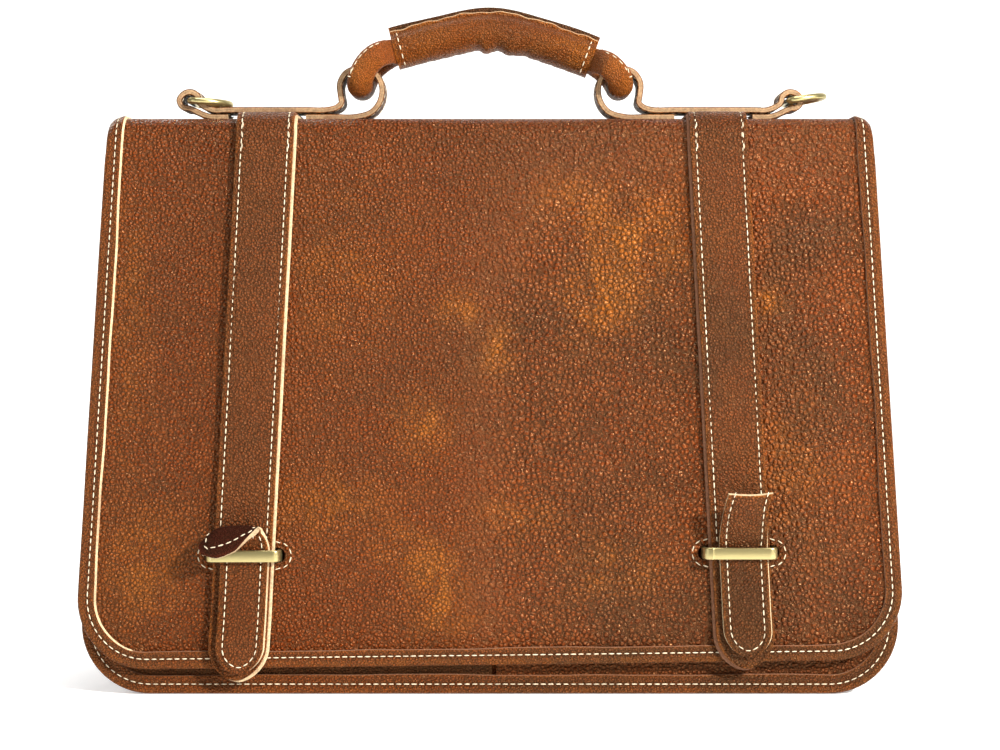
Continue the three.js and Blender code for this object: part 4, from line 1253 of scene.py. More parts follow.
# Free ends of the tongues, from the staple on: sideways, up and outwards in millimetres
LEFT_FREE_END = (
    ((-13.0, 4.0, 2.0), (-7.0, 6.0, 1.5), (-1.0, 7.0, 1.0), (5.0, 6.6, 1.0), (10.6, 4.6, 0.5)),
    ((-19.0, 6.0, 6.0), (-13.5, 11.0, 5.0), (-6.0, 12.4, 4.0), (2.0, 12.4, 3.0), (8.8, 9.3, 2.0)),
    ((-21.0, 2.8, 10.0), (-14.5, 6.0, 10.6), (-6.5, 8.0, 9.5), (1.5, 10.5, 7.0), (7.8, 11.2, 4.5)),
    ((-19.5, -0.8, 11.5), (-12.7, -2.3, 13.0), (-3.4, 1.1, 12.0), (1.6, 6.7, 10.0), (6.6, 11.7, 6.0)),
)
RIGHT_FREE_END = (
    ((-11.4, 6.4, 2.4), (-5.4, 6.4, 3.2), (0.2, 6.4, 3.4), (5.8, 6.4, 3.0), (11.2, 6.4, 2.2)),
    ((-10.8, 14.0, 6.0), (-5.2, 14.2, 7.2), (0.2, 14.3, 7.4), (5.8, 14.2, 6.8), (10.9, 14.0, 5.6)),
    ((-9.6, 21.0, 8.2), (-3.9, 21.2, 9.1), (1.2, 21.2, 9.1), (6.5, 21.1, 8.4), (11.3, 21.0, 7.4)),
    ((-8.0, 27.4, 10.0), (-2.4, 26.9, 10.4), (2.6, 26.8, 10.2), (7.8, 27.0, 9.4), (12.9, 27.6, 8.4)),
)
FREE_ENDS = {"left": LEFT_FREE_END, "right": RIGHT_FREE_END}


def tongue_surface(side):
    """The tongue's back face as a grid: lying on the strap, then its free end."""
    length = TONGUE_WIDTH * TIP_SHARE
    bar_top = side["bar"] + STAPLE_HEIGHT / 2
    columns, distance = strip_columns(TONGUE_WIDTH, stitch=TONGUE_STITCH, step=1.8)
    tip = side["tongue_tip"]
    lying = np.concatenate([
        tip_stations(tip, length), spaced(tip + length, STEP_START, STEP_END, bar_top, step=2.5)[1:],
    ])
    share = tip_share(lying - tip, length)[:, None]
    centre = strap_centre(side, lying)[:, None] + side["shift"]
    rise = strap_rise(lying)[:, None] + STRAP_THICKNESS + CLEARANCE
    rows = on_flap(centre + columns * share, np.outer(lying, np.ones(len(columns))), rise)
    start = rows[-1]
    middle = len(columns) // 2
    table = np.array(FREE_ENDS[side["name"]], float)
    table_columns = np.linspace(-TONGUE_WIDTH / 2, TONGUE_WIDTH / 2, 5)
    sections = []
    for row in table:
        fitted = [spline(row[:, i:i + 1].repeat(2, axis=1), 81)[:, 0] for i in range(3)]
        dense = np.linspace(table_columns[0], table_columns[-1], 81)
        place = np.stack([np.interp(columns, dense, line) for line in fitted], axis=1)
        x = strap_centre(side, bar_top) + side["shift"] + place[:, 0]
        y, z = start[middle, 1] - place[:, 2], start[middle, 2] + place[:, 1]
        sections.append(np.stack([x, y, z], axis=1))
    count = 36
    free = []
    for i in range(len(columns)):
        chain = np.array([rows[-3][i], rows[-1][i], *[section[i] for section in sections]])
        curve = spline(chain, 61)
        free.append(curve[13:])
    free = np.stack(free, axis=1)
    keep = np.linspace(0, len(free) - 1, count).round().astype(int)
    return np.concatenate([rows, free[keep]]), distance, len(lying), share


def tongue_piece(side):
    back, distance, lying, share = tongue_surface(side)
    height = edge_height(distance, TONGUE_THICKNESS, 0.6, TONGUE_STITCH, 0.3)
    grid = np.tile(height, (len(back), 1))
    grid[:lying] = TONGUE_THICKNESS - (TONGUE_THICKNESS - grid[:lying]) * np.minimum(1, share * 3)
    front = back + grid_normals(back) * grid[..., None]
    rim = np.tile(np.exp(-distance / 0.7), (len(back), 1))
    dip = np.tile(np.exp(-((distance - TONGUE_STITCH) / 0.8) ** 2), (len(back), 1))
    rim[-2:] = 1
    spread = np.where(np.arange(back.shape[1]) > back.shape[1] // 2, 0.6, -0.15)
    reach = np.exp(-distance / 0.5) * spread
    near_tip = np.concatenate([np.minimum(1, share[:, 0]), np.ones(len(back) - lying)])
    reach = np.tile(reach, (len(back), 1)) * near_tip[:, None]
    across = np.gradient(back, axis=1)
    across /= np.maximum(np.linalg.norm(across, axis=2, keepdims=True), 1e-9)
    back = back + across * reach[..., None]
    names = ("strap leather", "lining leather" if side["name"] == "left" else "strap leather", "raw edge")
    marks = marked(front, rim=rim, groove=dip)
    return wall(f"tongue_{side['name']}_leather", back, front, finishes(*names), marks)


class CASE_OT_straps(Operator):
    """The doubled straps and the tongues that pass up under the staples"""
    bl_idname = "leather_case.straps"
    bl_label = "Straps and tongues"

    def execute(self, context):
        for side in STRAPS:
            name = side["name"]
            add_piece(doubled_strap(side), "case", "leather_strap", f"strap_{name}")
            add_piece(tongue_piece(side), "case", "leather_strap", f"tongue_{name}")
        return {"FINISHED"}


# Brass staples and D rings

def soft_bar(width, thickness, corner, steps=4):
    """Outline of a bar with round corners."""
    points = []
    for turn_start, sx, sy in ((0, 1, 1), (90, -1, 1), (180, -1, -1), (270, 1, -1)):
        for turn in np.radians(np.linspace(turn_start, turn_start + 90, steps + 1)):
            points.append((
                sx * (width / 2 - corner) + corner * math.cos(turn),
                sy * (thickness / 2 - corner) + corner * math.sin(turn),
            ))
    return np.array(points)


STAPLE_RIB = {"left": None, "right": -13.6}


def staple_piece(side):
    centre = float(strap_centre(side, side["bar"]))
    back = -STAND_OFF - POCKET_FACE + CLEARANCE
    front = STRAP_LIFT + STRAP_THICKNESS + TONGUE_THICKNESS + 2 * CLEARANCE + STAPLE_THICKNESS / 2
    half = (STAPLE_WIDTH - STAPLE_THICKNESS) / 2
    path = [(half, rise, 0.0) for rise in np.linspace(back, front - STAPLE_BEND, 4)[:-1]]
    for turn in np.linspace(0, math.pi / 2, 9):
        inward, sink = STAPLE_BEND * (1 - math.cos(turn)), STAPLE_BEND * (1 - math.sin(turn))
        path.append((half - inward, front - sink, turn))
    straight = [(x, front, math.pi / 2) for x in np.linspace(half - STAPLE_BEND, 0, 40)[1:]]
    path += straight
    path += [(-x, rise, math.pi - turn) for x, rise, turn in reversed(path[:-1])]
    section = soft_bar(STAPLE_THICKNESS, STAPLE_HEIGHT, 0.75)
    rib = STAPLE_RIB[side["name"]]
    swell = float(flap_swell(centre, side["bar"]))
    rings = []
    for x, rise, turn in path:
        grow = 1 + (0.16 * math.exp(-((x - rib) / 0.45) ** 2) if rib is not None else 0)
        across, up = section[:, 0] * grow, section[:, 1] * (1 + (grow - 1) / 3)
        y, z, ny, nz = flap_line(side["bar"] + up)
        lift = rise + across * math.sin(turn) + swell
        rings.append(np.stack([centre + x + across * math.cos(turn), y + ny * lift, z + nz * lift], axis=1))
    return sweep(f"staple_{side['name']}_brass", rings, finishes("brass"), bend_angle=60)


UPPER_LAYER = BODY_HEIGHT + 2 * CLEARANCE + STRAP_THICKNESS + ANCHOR_THICKNESS / 2
LOWER_LAYER = BODY_HEIGHT + CLEARANCE + ANCHOR_THICKNESS / 2
BAR_HEIGHT = UPPER_LAYER + ANCHOR_THICKNESS / 2 + CLEARANCE + RING_WIRE / 2 + 1
RING_DROP = 1.0
REST_TILT = -math.degrees(math.asin(RING_DROP / (RING_REACH - RING_WIRE / 2)))


def d_ring(name, way, tilt):
    """A D ring: its straight bar in the eye and its bow pointing to +X, turned about the bar."""
    side = (RING_INNER_WIDTH + RING_WIRE) / 2
    reach = RING_REACH - RING_WIRE / 2
    line = [(RING_CORNER + (reach - RING_CORNER) * math.cos(turn), side * math.sin(turn))
            for turn in np.linspace(-math.pi / 2, math.pi / 2, 49)]
    corner = np.radians(np.linspace(15, 90, 6))
    line += [(RING_CORNER * (1 - math.sin(t)), side - RING_CORNER + RING_CORNER * math.cos(t))
             for t in corner]
    line += [(0.0, y) for y in np.linspace(side - RING_CORNER, RING_CORNER - side, 14)[1:-1]]
    line += [(RING_CORNER * (1 - math.sin(t)), RING_CORNER - side - RING_CORNER * math.cos(t))
             for t in corner[::-1]]
    line = np.array(line)
    run = np.roll(line, -1, axis=0) - np.roll(line, 1, axis=0)
    run /= np.linalg.norm(run, axis=1, keepdims=True)
    turn = np.linspace(0, 2 * math.pi, 21)[:-1]
    radius = RING_WIRE / 2
    out, up = radius * np.cos(turn), radius * np.sin(turn)
    x = line[:, 0:1] + run[:, 1:2] * out
    y = line[:, 1:2] - run[:, 0:1] * out
    z = np.tile(up, (len(line), 1))
    angle = math.radians(-tilt)
    turned_x = x * math.cos(angle) + z * math.sin(angle)
    turned_z = z * math.cos(angle) - x * math.sin(angle)
    rings = np.stack([turned_x + way * RING_BAR_REACH, y, turned_z + BAR_HEIGHT], axis=-1)
    return sweep(name, rings, finishes("brass"), endless=True)


class CASE_OT_brass(Operator):
    """The two staples on the flap and the two D rings that swing in their eyes"""
    bl_idname = "leather_case.brass"
    bl_label = "Brass"

    def execute(self, context):
        for side in STRAPS:
            add_piece(staple_piece(side), "case", "brass", f"staple_{side['name']}")
        left = d_ring("d_ring_left", -1, REST_TILT)
        add_piece(left, "ring_left", "brass", "ring_left")
        right = d_ring("d_ring_right", 1, OUTWARD_TILT)
        add_piece(right, "ring_right", "brass", "ring_right")
        return {"FINISHED"}


# The handle: an arched roll with a loop at each end, in a sewn sleeve

ARCH_HALF = SLEEVE_SPAN / 2
ARCH_PITCH = SLEEVE_RISE / (math.hypot(ARCH_HALF, SLEEVE_CROWN) - SLEEVE_CROWN)
ARCH_TILT = math.asin(SLEEVE_DROP / SLEEVE_SPAN)
LOOP_BOTTOM = BODY_HEIGHT + LOOP_LIFT


def arch_frame(x):
    """A point on the roll's line and the direction up from it, at a distance from its middle."""
    z = -ARCH_PITCH * (math.hypot(x, SLEEVE_CROWN) - SLEEVE_CROWN)
    slope = -ARCH_PITCH * x / math.hypot(x, SLEEVE_CROWN)
    up = np.array([-slope, 0, 1]) / math.hypot(slope, 1)
    c, s = math.cos(ARCH_TILT), math.sin(ARCH_TILT)
    tilt = np.array([[c, 0, s], [0, 1, 0], [-s, 0, c]])
    return tilt @ np.array([x, 0, z]) + np.array([SLEEVE_MIDDLE, 0, HANDLE_HEIGHT]), tilt @ up


def along_arch(section_at, places):
    rings = []
    for x in places:
        origin, up = arch_frame(x)
        section = section_at(x)
        rings.append(origin + section[:, 0:1] * np.array([0, -1, 0]) + section[:, 1:2] * up)
    return np.array(rings)


# The legs of an end loop: shares of their length and of the distance between them
LEG_ALONG = (0, 0.12, 0.26, 0.5, 0.75, 0.94)
LEG_APART = (0.62, 0.84, 1, 1, 1, 1)
# The legs' start inside the sleeve: how far back, and how far apart
LOOP_NECK = ((8.0, 0.04), (5.5, 0.08), (4.0, 0.16), (2.8, 0.26), (1.6, 0.40), (0.8, 0.52))


def loop_line(way):
    """The end loop's line, one leg down, round its low bend and up the other: with frames."""
    origin, up = arch_frame(way * (ARCH_HALF + LOOP_START))
    outwards = np.array([way * up[2], 0, -way * up[0]])
    end = np.array([way * LOOP_REACH, 0, LOOP_BOTTOM + LOOP_WIDTH / 2])
    bend = origin + outwards * abs(end[0] - origin[0]) * 0.85
    start_run = (bend - origin) / np.linalg.norm(bend - origin)
    places = [(origin - start_run * back, start_run, -LOOP_DEPTH / 2 * apart, 0.0, 0.0)
              for back, apart in LOOP_NECK]
    for t in np.linspace(0, 0.94, 26):
        at = (1 - t) ** 2 * origin + 2 * t * (1 - t) * bend + t * t * end
        run = 2 * (1 - t) * (bend - origin) + 2 * t * (end - bend)
        apart = np.interp(t, LEG_ALONG, LEG_APART)
        places.append((at, run / np.linalg.norm(run), -LOOP_DEPTH / 2 * apart, 0.0, 0.0))
    run = (end - bend) / np.linalg.norm(end - bend)
    corner = LOOP_WIDTH / 2
    for turn in np.linspace(0, math.pi / 2, 11)[1:]:
        places.append((end, run, corner * (1 - math.cos(turn)) - LOOP_DEPTH / 2, turn,
                       corner * (math.sin(turn) - 1)))
    back = [(at, run, -y, math.pi - turn, rise) for at, run, y, turn, rise in reversed(places[:-1])]
    return places + back


def loop_rings(way):
    around = np.linspace(0, 2 * math.pi, 29)[:-1]
    rings = []
    for at, run, y, turn, rise in loop_line(way):
        wide = np.array([run[2], 0, -run[0]]) * LOOP_WIDTH / 2
        thickness = lerp(LOOP_THICKNESS, LOOP_WIDTH, math.sin(turn)) / 2
        thin = (np.array([0, -math.cos(turn), 0]) + run * math.sin(turn)) * thickness
        middle = np.array([at[0], y, at[2]]) + run * rise
        rings.append(middle + np.outer(np.cos(around), wide) + np.outer(np.sin(around), thin))
    return np.array(rings)


def handle_roll():
    around = np.linspace(0, 2 * math.pi, 29)[:-1]
    radius = SLEEVE_RADIUS - SLEEVE_THICKNESS - CLEARANCE
    circle = np.stack([np.cos(around), np.sin(around)], axis=1) * radius
    reach = ARCH_HALF + LOOP_START
    rings = along_arch(lambda x: circle, np.linspace(-reach, reach, 41))
    roll = sweep("roll", rings, finishes("loop leather"))
    loops = [sweep("loop", loop_rings(way), finishes("loop leather")) for way in (-1, 1)]
    piece = joined("handle_roll_leather", [roll, *loops])
    fuse = piece.modifiers.new("fuse", "REMESH")
    fuse.mode, fuse.voxel_size = "VOXEL", 0.75 * MM
    ease = piece.modifiers.new("ease", "SMOOTH")
    ease.factor, ease.iterations = 0.5, 6
    settle(piece)
    piece.data.shade_smooth()
    points = np.array([v.co for v in piece.data.vertices]) / MM
    for name, value in (("rubbed", 0.35), ("dusky", 0.5), ("rim", 0.0), ("groove", 0.0)):
        layer = piece.data.attributes.get(name) or piece.data.attributes.new(name, "FLOAT", "POINT")
        values = np.full(len(points), value)
        if name == "rubbed":
            values = 0.25 + 0.5 * smooth_step(np.abs(points[:, 0] - SLEEVE_MIDDLE), 52, 66)
        layer.data.foreach_set("value", values.astype(np.float32))
    return piece


# Bulges and hollows that the sleeve's underside shows: place along, reach and rise
SLEEVE_PUCKERS = (
    {"along": -4, "wide": 4.2, "rise": 2.5},
    {"along": -10, "wide": 2.8, "rise": -1.4},
    {"along": 9.5, "wide": 5.0, "rise": 2.2},
    {"along": 2.5, "wide": 2.0, "rise": -1.0},
    {"along": 18, "wide": 3.0, "rise": -0.5},
    {"along": -27, "wide": 6.0, "rise": 0.5},
)


def sleeve_section(x):
    """The sleeve's section: round the roll, with its two edges sewn up into a fin on top."""
    slit = CLEARANCE / 2
    side = slit + SLEEVE_THICKNESS
    inner_radius = SLEEVE_RADIUS - SLEEVE_THICKNESS
    pucker = sum(p["rise"] * math.exp(-((x - p["along"]) / p["wide"]) ** 2) for p in SLEEVE_PUCKERS)
    wrinkle = 0.14 * math.sin(x * 0.95) + 0.08 * math.sin(x * 1.9 + 1)
    gap = math.acos(side / SLEEVE_RADIUS)
    turn = np.linspace(gap, -math.pi - gap, 57)
    low = np.clip(-np.sin(turn), 0, 1) ** 1.5
    front = 0.35 + 0.65 * np.clip(np.cos(turn) + 0.4, 0, 1)
    fade = math.cos(min(1, abs(x) / ARCH_HALF) * math.pi / 2) ** 0.5
    radius = SLEEVE_RADIUS + (pucker * front + wrinkle) * low * fade
    outer = np.stack([radius * np.cos(turn), radius * np.sin(turn)], axis=1)
    inner_gap = math.acos(slit / inner_radius)
    inner_turn = np.linspace(-math.pi - inner_gap, inner_gap, 41)
    inner = inner_radius * np.stack([np.cos(inner_turn), np.sin(inner_turn)], axis=1)
    front_top = SLEEVE_RADIUS + FIN_FRONT + 0.35 * math.sin(x / 3.1) + 0.2 * math.sin(x / 1.3)
    back_top = SLEEVE_RADIUS + FIN_BACK + 0.3 * math.sin(x / 7 + 2)
    return np.concatenate([
        [[slit, front_top - 0.15], [slit + 0.35, front_top],
         [side - 0.4, front_top], [side, front_top - 0.45]],
        outer,
        [[-side, back_top - 0.4], [-side + 0.4, back_top], [-slit - 0.4, back_top], [-slit, back_top - 0.3]],
        inner,
    ])


def handle_sleeve():
    places = np.linspace(-ARCH_HALF, ARCH_HALF, 121)
    rings = along_arch(sleeve_section, places)
    around = rings.shape[1]
    outer_count = 57
    rim = np.zeros(around)
    rim[[0, 1, 2, 3]] = 1
    # No rubbed gold on the back fin, which is painted as shade.
    fin = np.ones(around)
    fin[4 + outer_count: 9 + outer_count] = 0
    ends = np.exp(-np.minimum(places + ARCH_HALF, ARCH_HALF - places) / 1.0)[:, None]
    finish_of = [0] * around
    for i in (0, 1, 2):
        finish_of[i] = 3
    for i in range(8 + outer_count, around - 1):
        finish_of[i] = 2
    # Painted shade: the back fin's faces lie in shade and take the dark leather colour, though they are the
    # handle's own leather.
    for i in range(5 + outer_count, 8 + outer_count):
        finish_of[i] = 4
    x = rings[..., 0]
    golden = 0.3 + 0.35 * np.exp(-((x - 44) / 12) ** 2) + 0.25 * np.exp(-((x + 38) / 12) ** 2)
    marks = {
        "rubbed": golden * fin,
        "dusky": np.full(x.shape, 0.6),
        "rim": np.maximum(np.tile(rim, (len(places), 1)), ends),
        "groove": np.zeros(x.shape),
    }
    names = ("handle leather", "raw edge", "flesh side", "tan edge", "dark leather and fin shade", "tan edge")
    return sweep("handle_sleeve_leather", rings, finishes(*names), finish_of, marks=marks, bend_angle=42)


class CASE_OT_handle(Operator):
    """The rolled handle, the loops at its ends and its sewn sleeve"""
    bl_idname = "leather_case.handle"
    bl_label = "Handle"

    def execute(self, context):
        add_piece(handle_roll(), "case", "leather_handle", "handle_core")
        add_piece(handle_sleeve(), "case", "leather_handle", "handle_sleeve")
        return {"FINISHED"}


# Anchor bands on top: sideways in shares of half the ring, upwards in shares of its height

HANDLE_RING_PATH = (
    (1.3, 0), (0.3, 0), (-0.5, 0.1), (-0.9, 0.32), (-1, 0.6), (-0.72, 0.88), (-0.05, 1),
    (0.66, 0.92), (0.99, 0.7), (0.97, 0.46), (0.92, 0.3),
)
# The D ring's eye round its bar, in shares of the eye's own radius
EYE_PATH = ((-1.2, -0.3), (-0.95, 0.6), (-0.2, 1.15), (0.8, 1), (1.5, 0.1), (1.05, -0.8), (0.1, -1))


def anchor_line():
    """The band's line from its inner end, round the handle's ring and the eye, and back."""
    ring_half = (ANCHOR_RING_WIDTH - ANCHOR_THICKNESS) / 2
    ring_top = LOOP_BOTTOM + LOOP_WIDTH + CLEARANCE + ANCHOR_THICKNESS / 2
    eye = (RING_WIRE + ANCHOR_THICKNESS) / 2 + EYE_SLACK
    points = [(ANCHOR_INNER_END, LOWER_LAYER)]
    points += [(ANCHOR_RING_CENTRE + side * ring_half, lerp(LOWER_LAYER, ring_top, up))
               for side, up in HANDLE_RING_PATH]
    points += [
        (ANCHOR_RING_CENTRE + 1.12 * ring_half, UPPER_LAYER + ANCHOR_THICKNESS / 2),
        (ANCHOR_RING_CENTRE + 1.6 * ring_half, UPPER_LAYER),
        (ANCHOR_INNER_END, UPPER_LAYER),
        (ANCHOR_OUTER_END, UPPER_LAYER),
        (RING_BAR_REACH - 2.9 * eye, UPPER_LAYER),
    ]
    points += [(RING_BAR_REACH + side * eye, BAR_HEIGHT + up * eye) for side, up in EYE_PATH]
    points += [(RING_BAR_REACH - 2.2 * eye, LOWER_LAYER + 0.15 * ANCHOR_THICKNESS),
               (ANCHOR_OUTER_END, LOWER_LAYER)]
    line = spline(points, 6 * len(points) + 1)
    run = np.gradient(line, axis=0)
    run /= np.linalg.norm(run, axis=1, keepdims=True)
    return line, np.stack([-run[:, 1], run[:, 0]], axis=1)


def anchor_band(name, way):
    line, up = anchor_line()
    columns, distance = strip_columns(ANCHOR_WIDTH, stitch=2.4, step=2.4)
    half = ANCHOR_THICKNESS / 2
    height = edge_height(distance, half, 0.45, 2.4, 0.22)
    plies = []
    for ply, sense in (("upper", 1), ("lower", -1)):
        def grid(rise):
            x = line[:, 0:1] + up[:, 0:1] * rise * sense
            z = line[:, 1:2] + up[:, 1:2] * rise * sense
            return np.stack(np.broadcast_arrays(way * x, columns, z), axis=-1)

        outer, inner = grid(np.tile(height, (len(line), 1))), grid(0.04)
        rim = np.tile(np.exp(-distance / 0.5), (len(line), 1))
        dip = np.tile(np.exp(-((distance - 2.4) / 0.7) ** 2), (len(line), 1))
        names = ("dark leather and fin shade", "flesh side", "tan edge")
        plies.append(wall(f"{ply}_ply", inner, outer, finishes(*names), marked(outer, rim=rim, groove=dip)))
    return joined(name, plies)


class CASE_OT_anchors(Operator):
    """The doubled bands on top that hold the handle and the D rings"""
    bl_idname = "leather_case.anchors"
    bl_label = "Anchor bands"

    def execute(self, context):
        add_piece(anchor_band("anchor_left_band", -1), "case", "leather_dark", "anchor_left")
        add_piece(anchor_band("anchor_right_band", 1), "case", "leather_dark", "anchor_right")
        return {"FINISHED"}


# Stitching: rows of points with the leather's outward direction, set with thread by nodes

def row_on_flap(x, s, rise):
    low, high = on_flap(x, s, rise), on_flap(x, s, rise + 1)
    return low, high - low


THREAD_SINK = 0.12


def edge_row(edge, place, inwards):
    """A row set in from an edge; `place` counts its depth into the leather."""
    x, z = edge[:, 0] - edge[:, 2] * inwards, edge[:, 1] - edge[:, 3] * inwards
    low = place(x, z, THREAD_SINK)
    return low, low - place(x, z, THREAD_SINK + 1)


def binding_rows():
    edge = with_bottom(body_edge())
    around = flap_edge()
    near = FLAP_THICKNESS + CLEARANCE + BINDING_THICKNESS
    far = -CLEARANCE - BINDING_THICKNESS

    def over(x, s, depth):
        return on_hem_flap(x, s, near - depth)

    def under(x, s, depth):
        return on_hem_flap(x, s, far + depth)

    return [
        edge_row(edge, on_front, BINDING_STITCH), edge_row(edge, on_back, BINDING_STITCH),
        edge_row(around, over, BINDING_STITCH), edge_row(around, under, BINDING_STITCH),
    ]


def strap_rows(side):
    """Both long rows of a strap, with the doubled backstitches where it is sewn to the flap."""
    rows = []
    top = strap_rise(200) + STRAP_THICKNESS - 0.3
    inset = (STRAP_WIDTH - PLY_STEP) / 2 - 2.8
    offset = side["way"] * PLY_STEP / 2
    way = strap_stations(side["tip"], STRAP_WIDTH * TIP_SHARE)
    way = way[way >= side["bar"] + STAPLE_HEIGHT / 2 + 1]
    for edge in (-1, 1):
        x = strap_centre(side, way) + offset + edge * inset
        rows.append(row_on_flap(x, way, strap_rise(way) + STRAP_THICKNESS - 0.28))
        back = np.linspace(267, 275.5, 6)
        x = strap_centre(side, back) + offset + edge * inset + 0.5
        rows.append(row_on_flap(x, back + 0.4, top + 0.35))
    return rows


def tip_inset(side, inset):
    """The lying tongue's outline, set in: up one side, round the tip and up the other."""
    length, tip = TONGUE_WIDTH * TIP_SHARE, side["tongue_tip"]
    s = tip_stations(tip, length, 60)
    x = TONGUE_WIDTH / 2 * tip_share(s - tip, length)
    heading = np.stack([np.gradient(x), np.gradient(s)], axis=1)
    heading /= np.linalg.norm(heading, axis=1, keepdims=True)
    x, s = x - heading[:, 1] * inset, s + heading[:, 0] * inset
    keep = x > 0.3
    x, s = x[keep], s[keep]
    shaft = spaced(s[-1], side["bar"] + STAPLE_HEIGHT / 2, step=3)[1:]
    s = np.concatenate([s, shaft])
    x = np.concatenate([x, np.full(len(shaft), TONGUE_WIDTH / 2 - inset)])
    x, s = np.concatenate([-x[::-1], x]), np.concatenate([s[::-1], s])
    groove = 0.28 * smooth_step(s, tip + 5, tip + length)
    rise = strap_rise(s) + STRAP_THICKNESS + CLEARANCE + TONGUE_THICKNESS - groove
    return row_on_flap(strap_centre(side, s) + side["shift"] + x, s, rise)


def tongue_rows(side):
    """One row round a tongue inside its edge, and on the left the row on its folded lining."""
    back, distance, lying, _ = tongue_surface(side)
    normals = grid_normals(back)
    columns = back.shape[1]
    left = int(np.argmin(np.abs(distance[: columns // 2] - TONGUE_STITCH)))
    right = columns - 1 - left
    lift = TONGUE_THICKNESS - 0.28
    free = [(back[lying + 2:, c] + normals[lying + 2:, c] * lift, normals[lying + 2:, c])
            for c in (left, right)]
    low, facing = tip_inset(side, TONGUE_STITCH)
    rows = [(
        np.concatenate([free[0][0][::-1], low, free[1][0]]),
        np.concatenate([free[0][1][::-1], facing, free[1][1]]),
    )]
    if side["name"] == "left":
        turned = slice(lying + 14, len(back) - 6)
        end = len(back) - 6
        line, out = (
            np.concatenate([grid[turned, left], grid[end, left:right + 1], grid[turned, right][::-1]])
            for grid in (back, -normals))
        rows.append((line + out * 0.1, out))
    return rows


def slot_rows(side):
    """The stitched oval round a slot, left out where the strap lies over it."""
    ring = slot_ring(side, SLOT_SEAM_REACH)
    centre = strap_centre(side, side["bar"])
    covered = STRAP_WIDTH / 2 - 1.0
    rows = []
    for way in (-1, 1):
        offset = way * (ring[:, 0] - centre)
        picked = ring[offset > covered - 4]
        order = np.argsort(np.arctan2(picked[:, 1] - side["bar"], way * (picked[:, 0] - centre)))
        picked = picked[order]
        rows.append(row_on_flap(picked[:, 0], picked[:, 1], FLAP_THICKNESS + 0.05))
    return rows


def sleeve_rows():
    """The long row behind the fin and the short rows at the sleeve's two ends."""
    rows = []
    fin = SLEEVE_RADIUS + 0.75
    side = CLEARANCE / 2 + SLEEVE_THICKNESS
    places = np.linspace(-ARCH_HALF + 2, ARCH_HALF - 2, 60)
    frames = [arch_frame(x) for x in places]
    points = [origin + up * fin + np.array([0, side + 0.05, 0]) for origin, up in frames]
    rows.append((np.array(points), np.tile([0.0, 1.0, 0.0], (len(points), 1))))
    for end in (-1, 1):
        origin, up = arch_frame(end * (ARCH_HALF - 3.2))
        for way in (-1, 1):
            turn = np.linspace(1.05, -0.9, 16)
            out = np.cos(turn)[:, None] * np.array([0, -way, 0]) + np.sin(turn)[:, None] * up
            rows.append((origin + out * (SLEEVE_RADIUS + 0.08), out))
    return rows


def loop_rows():
    """The row along the upper edge of each end loop, on its front and its back leg."""
    rows = []
    for way in (-1, 1):
        rings = loop_rings(way)
        middle = rings.mean(axis=1)
        half = len(rings) // 2
        outer = 0 if (rings[12, 0, 2] - middle[12, 2]) > 0 else rings.shape[1] // 2
        neck = len(LOOP_NECK) + 4
        for leg, sense in ((slice(neck, half - 8), 1), (slice(half + 9, len(rings) - neck), -1)):
            step = 3 * sense
            for index in (outer + step, outer - step):
                index %= rings.shape[1]
                points = rings[leg, index]
                facing = points - middle[leg]
                facing /= np.linalg.norm(facing, axis=1, keepdims=True)
                if np.mean(facing[:, 1]) * sense < 0:
                    rows.append((points - facing * 0.1, facing))
    return rows


ANCHOR_STITCH = 2.4
CROSS_STATIONS = 8


def anchor_rows(way):
    """Rows along both faces of an anchor band and across it, on its inner and outer side."""
    line, up = anchor_line()
    rows = []
    height = ANCHOR_THICKNESS / 2 - 0.18
    for sense in (1, -1):
        for edge in (-1, 1):
            x = way * (line[:, 0] + up[:, 0] * height * sense)
            z = line[:, 1] + up[:, 1] * height * sense
            y = np.full(len(x), edge * (ANCHOR_WIDTH / 2 - ANCHOR_STITCH))
            facing = np.stack([way * up[:, 0] * sense, 0 * y, up[:, 1] * sense], axis=1)
            rows.append((np.stack([x, y, z], axis=1), facing))
    for place in (ANCHOR_INNER_END - 8, ANCHOR_OUTER_END + 4):
        y = np.linspace(-ANCHOR_WIDTH / 2 + 3, ANCHOR_WIDTH / 2 - 3, CROSS_STATIONS)
        top = np.full(CROSS_STATIONS, UPPER_LAYER + ANCHOR_THICKNESS / 2)
        points = np.stack([np.full(CROSS_STATIONS, way * place), y, top], axis=1)
        rows.append((points, np.tile([0.0, 0, 1], (CROSS_STATIONS, 1))))
    return rows


def stitch_rows():
    rows = binding_rows() + sleeve_rows() + loop_rows()
    for side in STRAPS:
        rows += strap_rows(side) + tongue_rows(side) + slot_rows(side)
    for way in (-1, 1):
        rows += anchor_rows(way)
    return rows


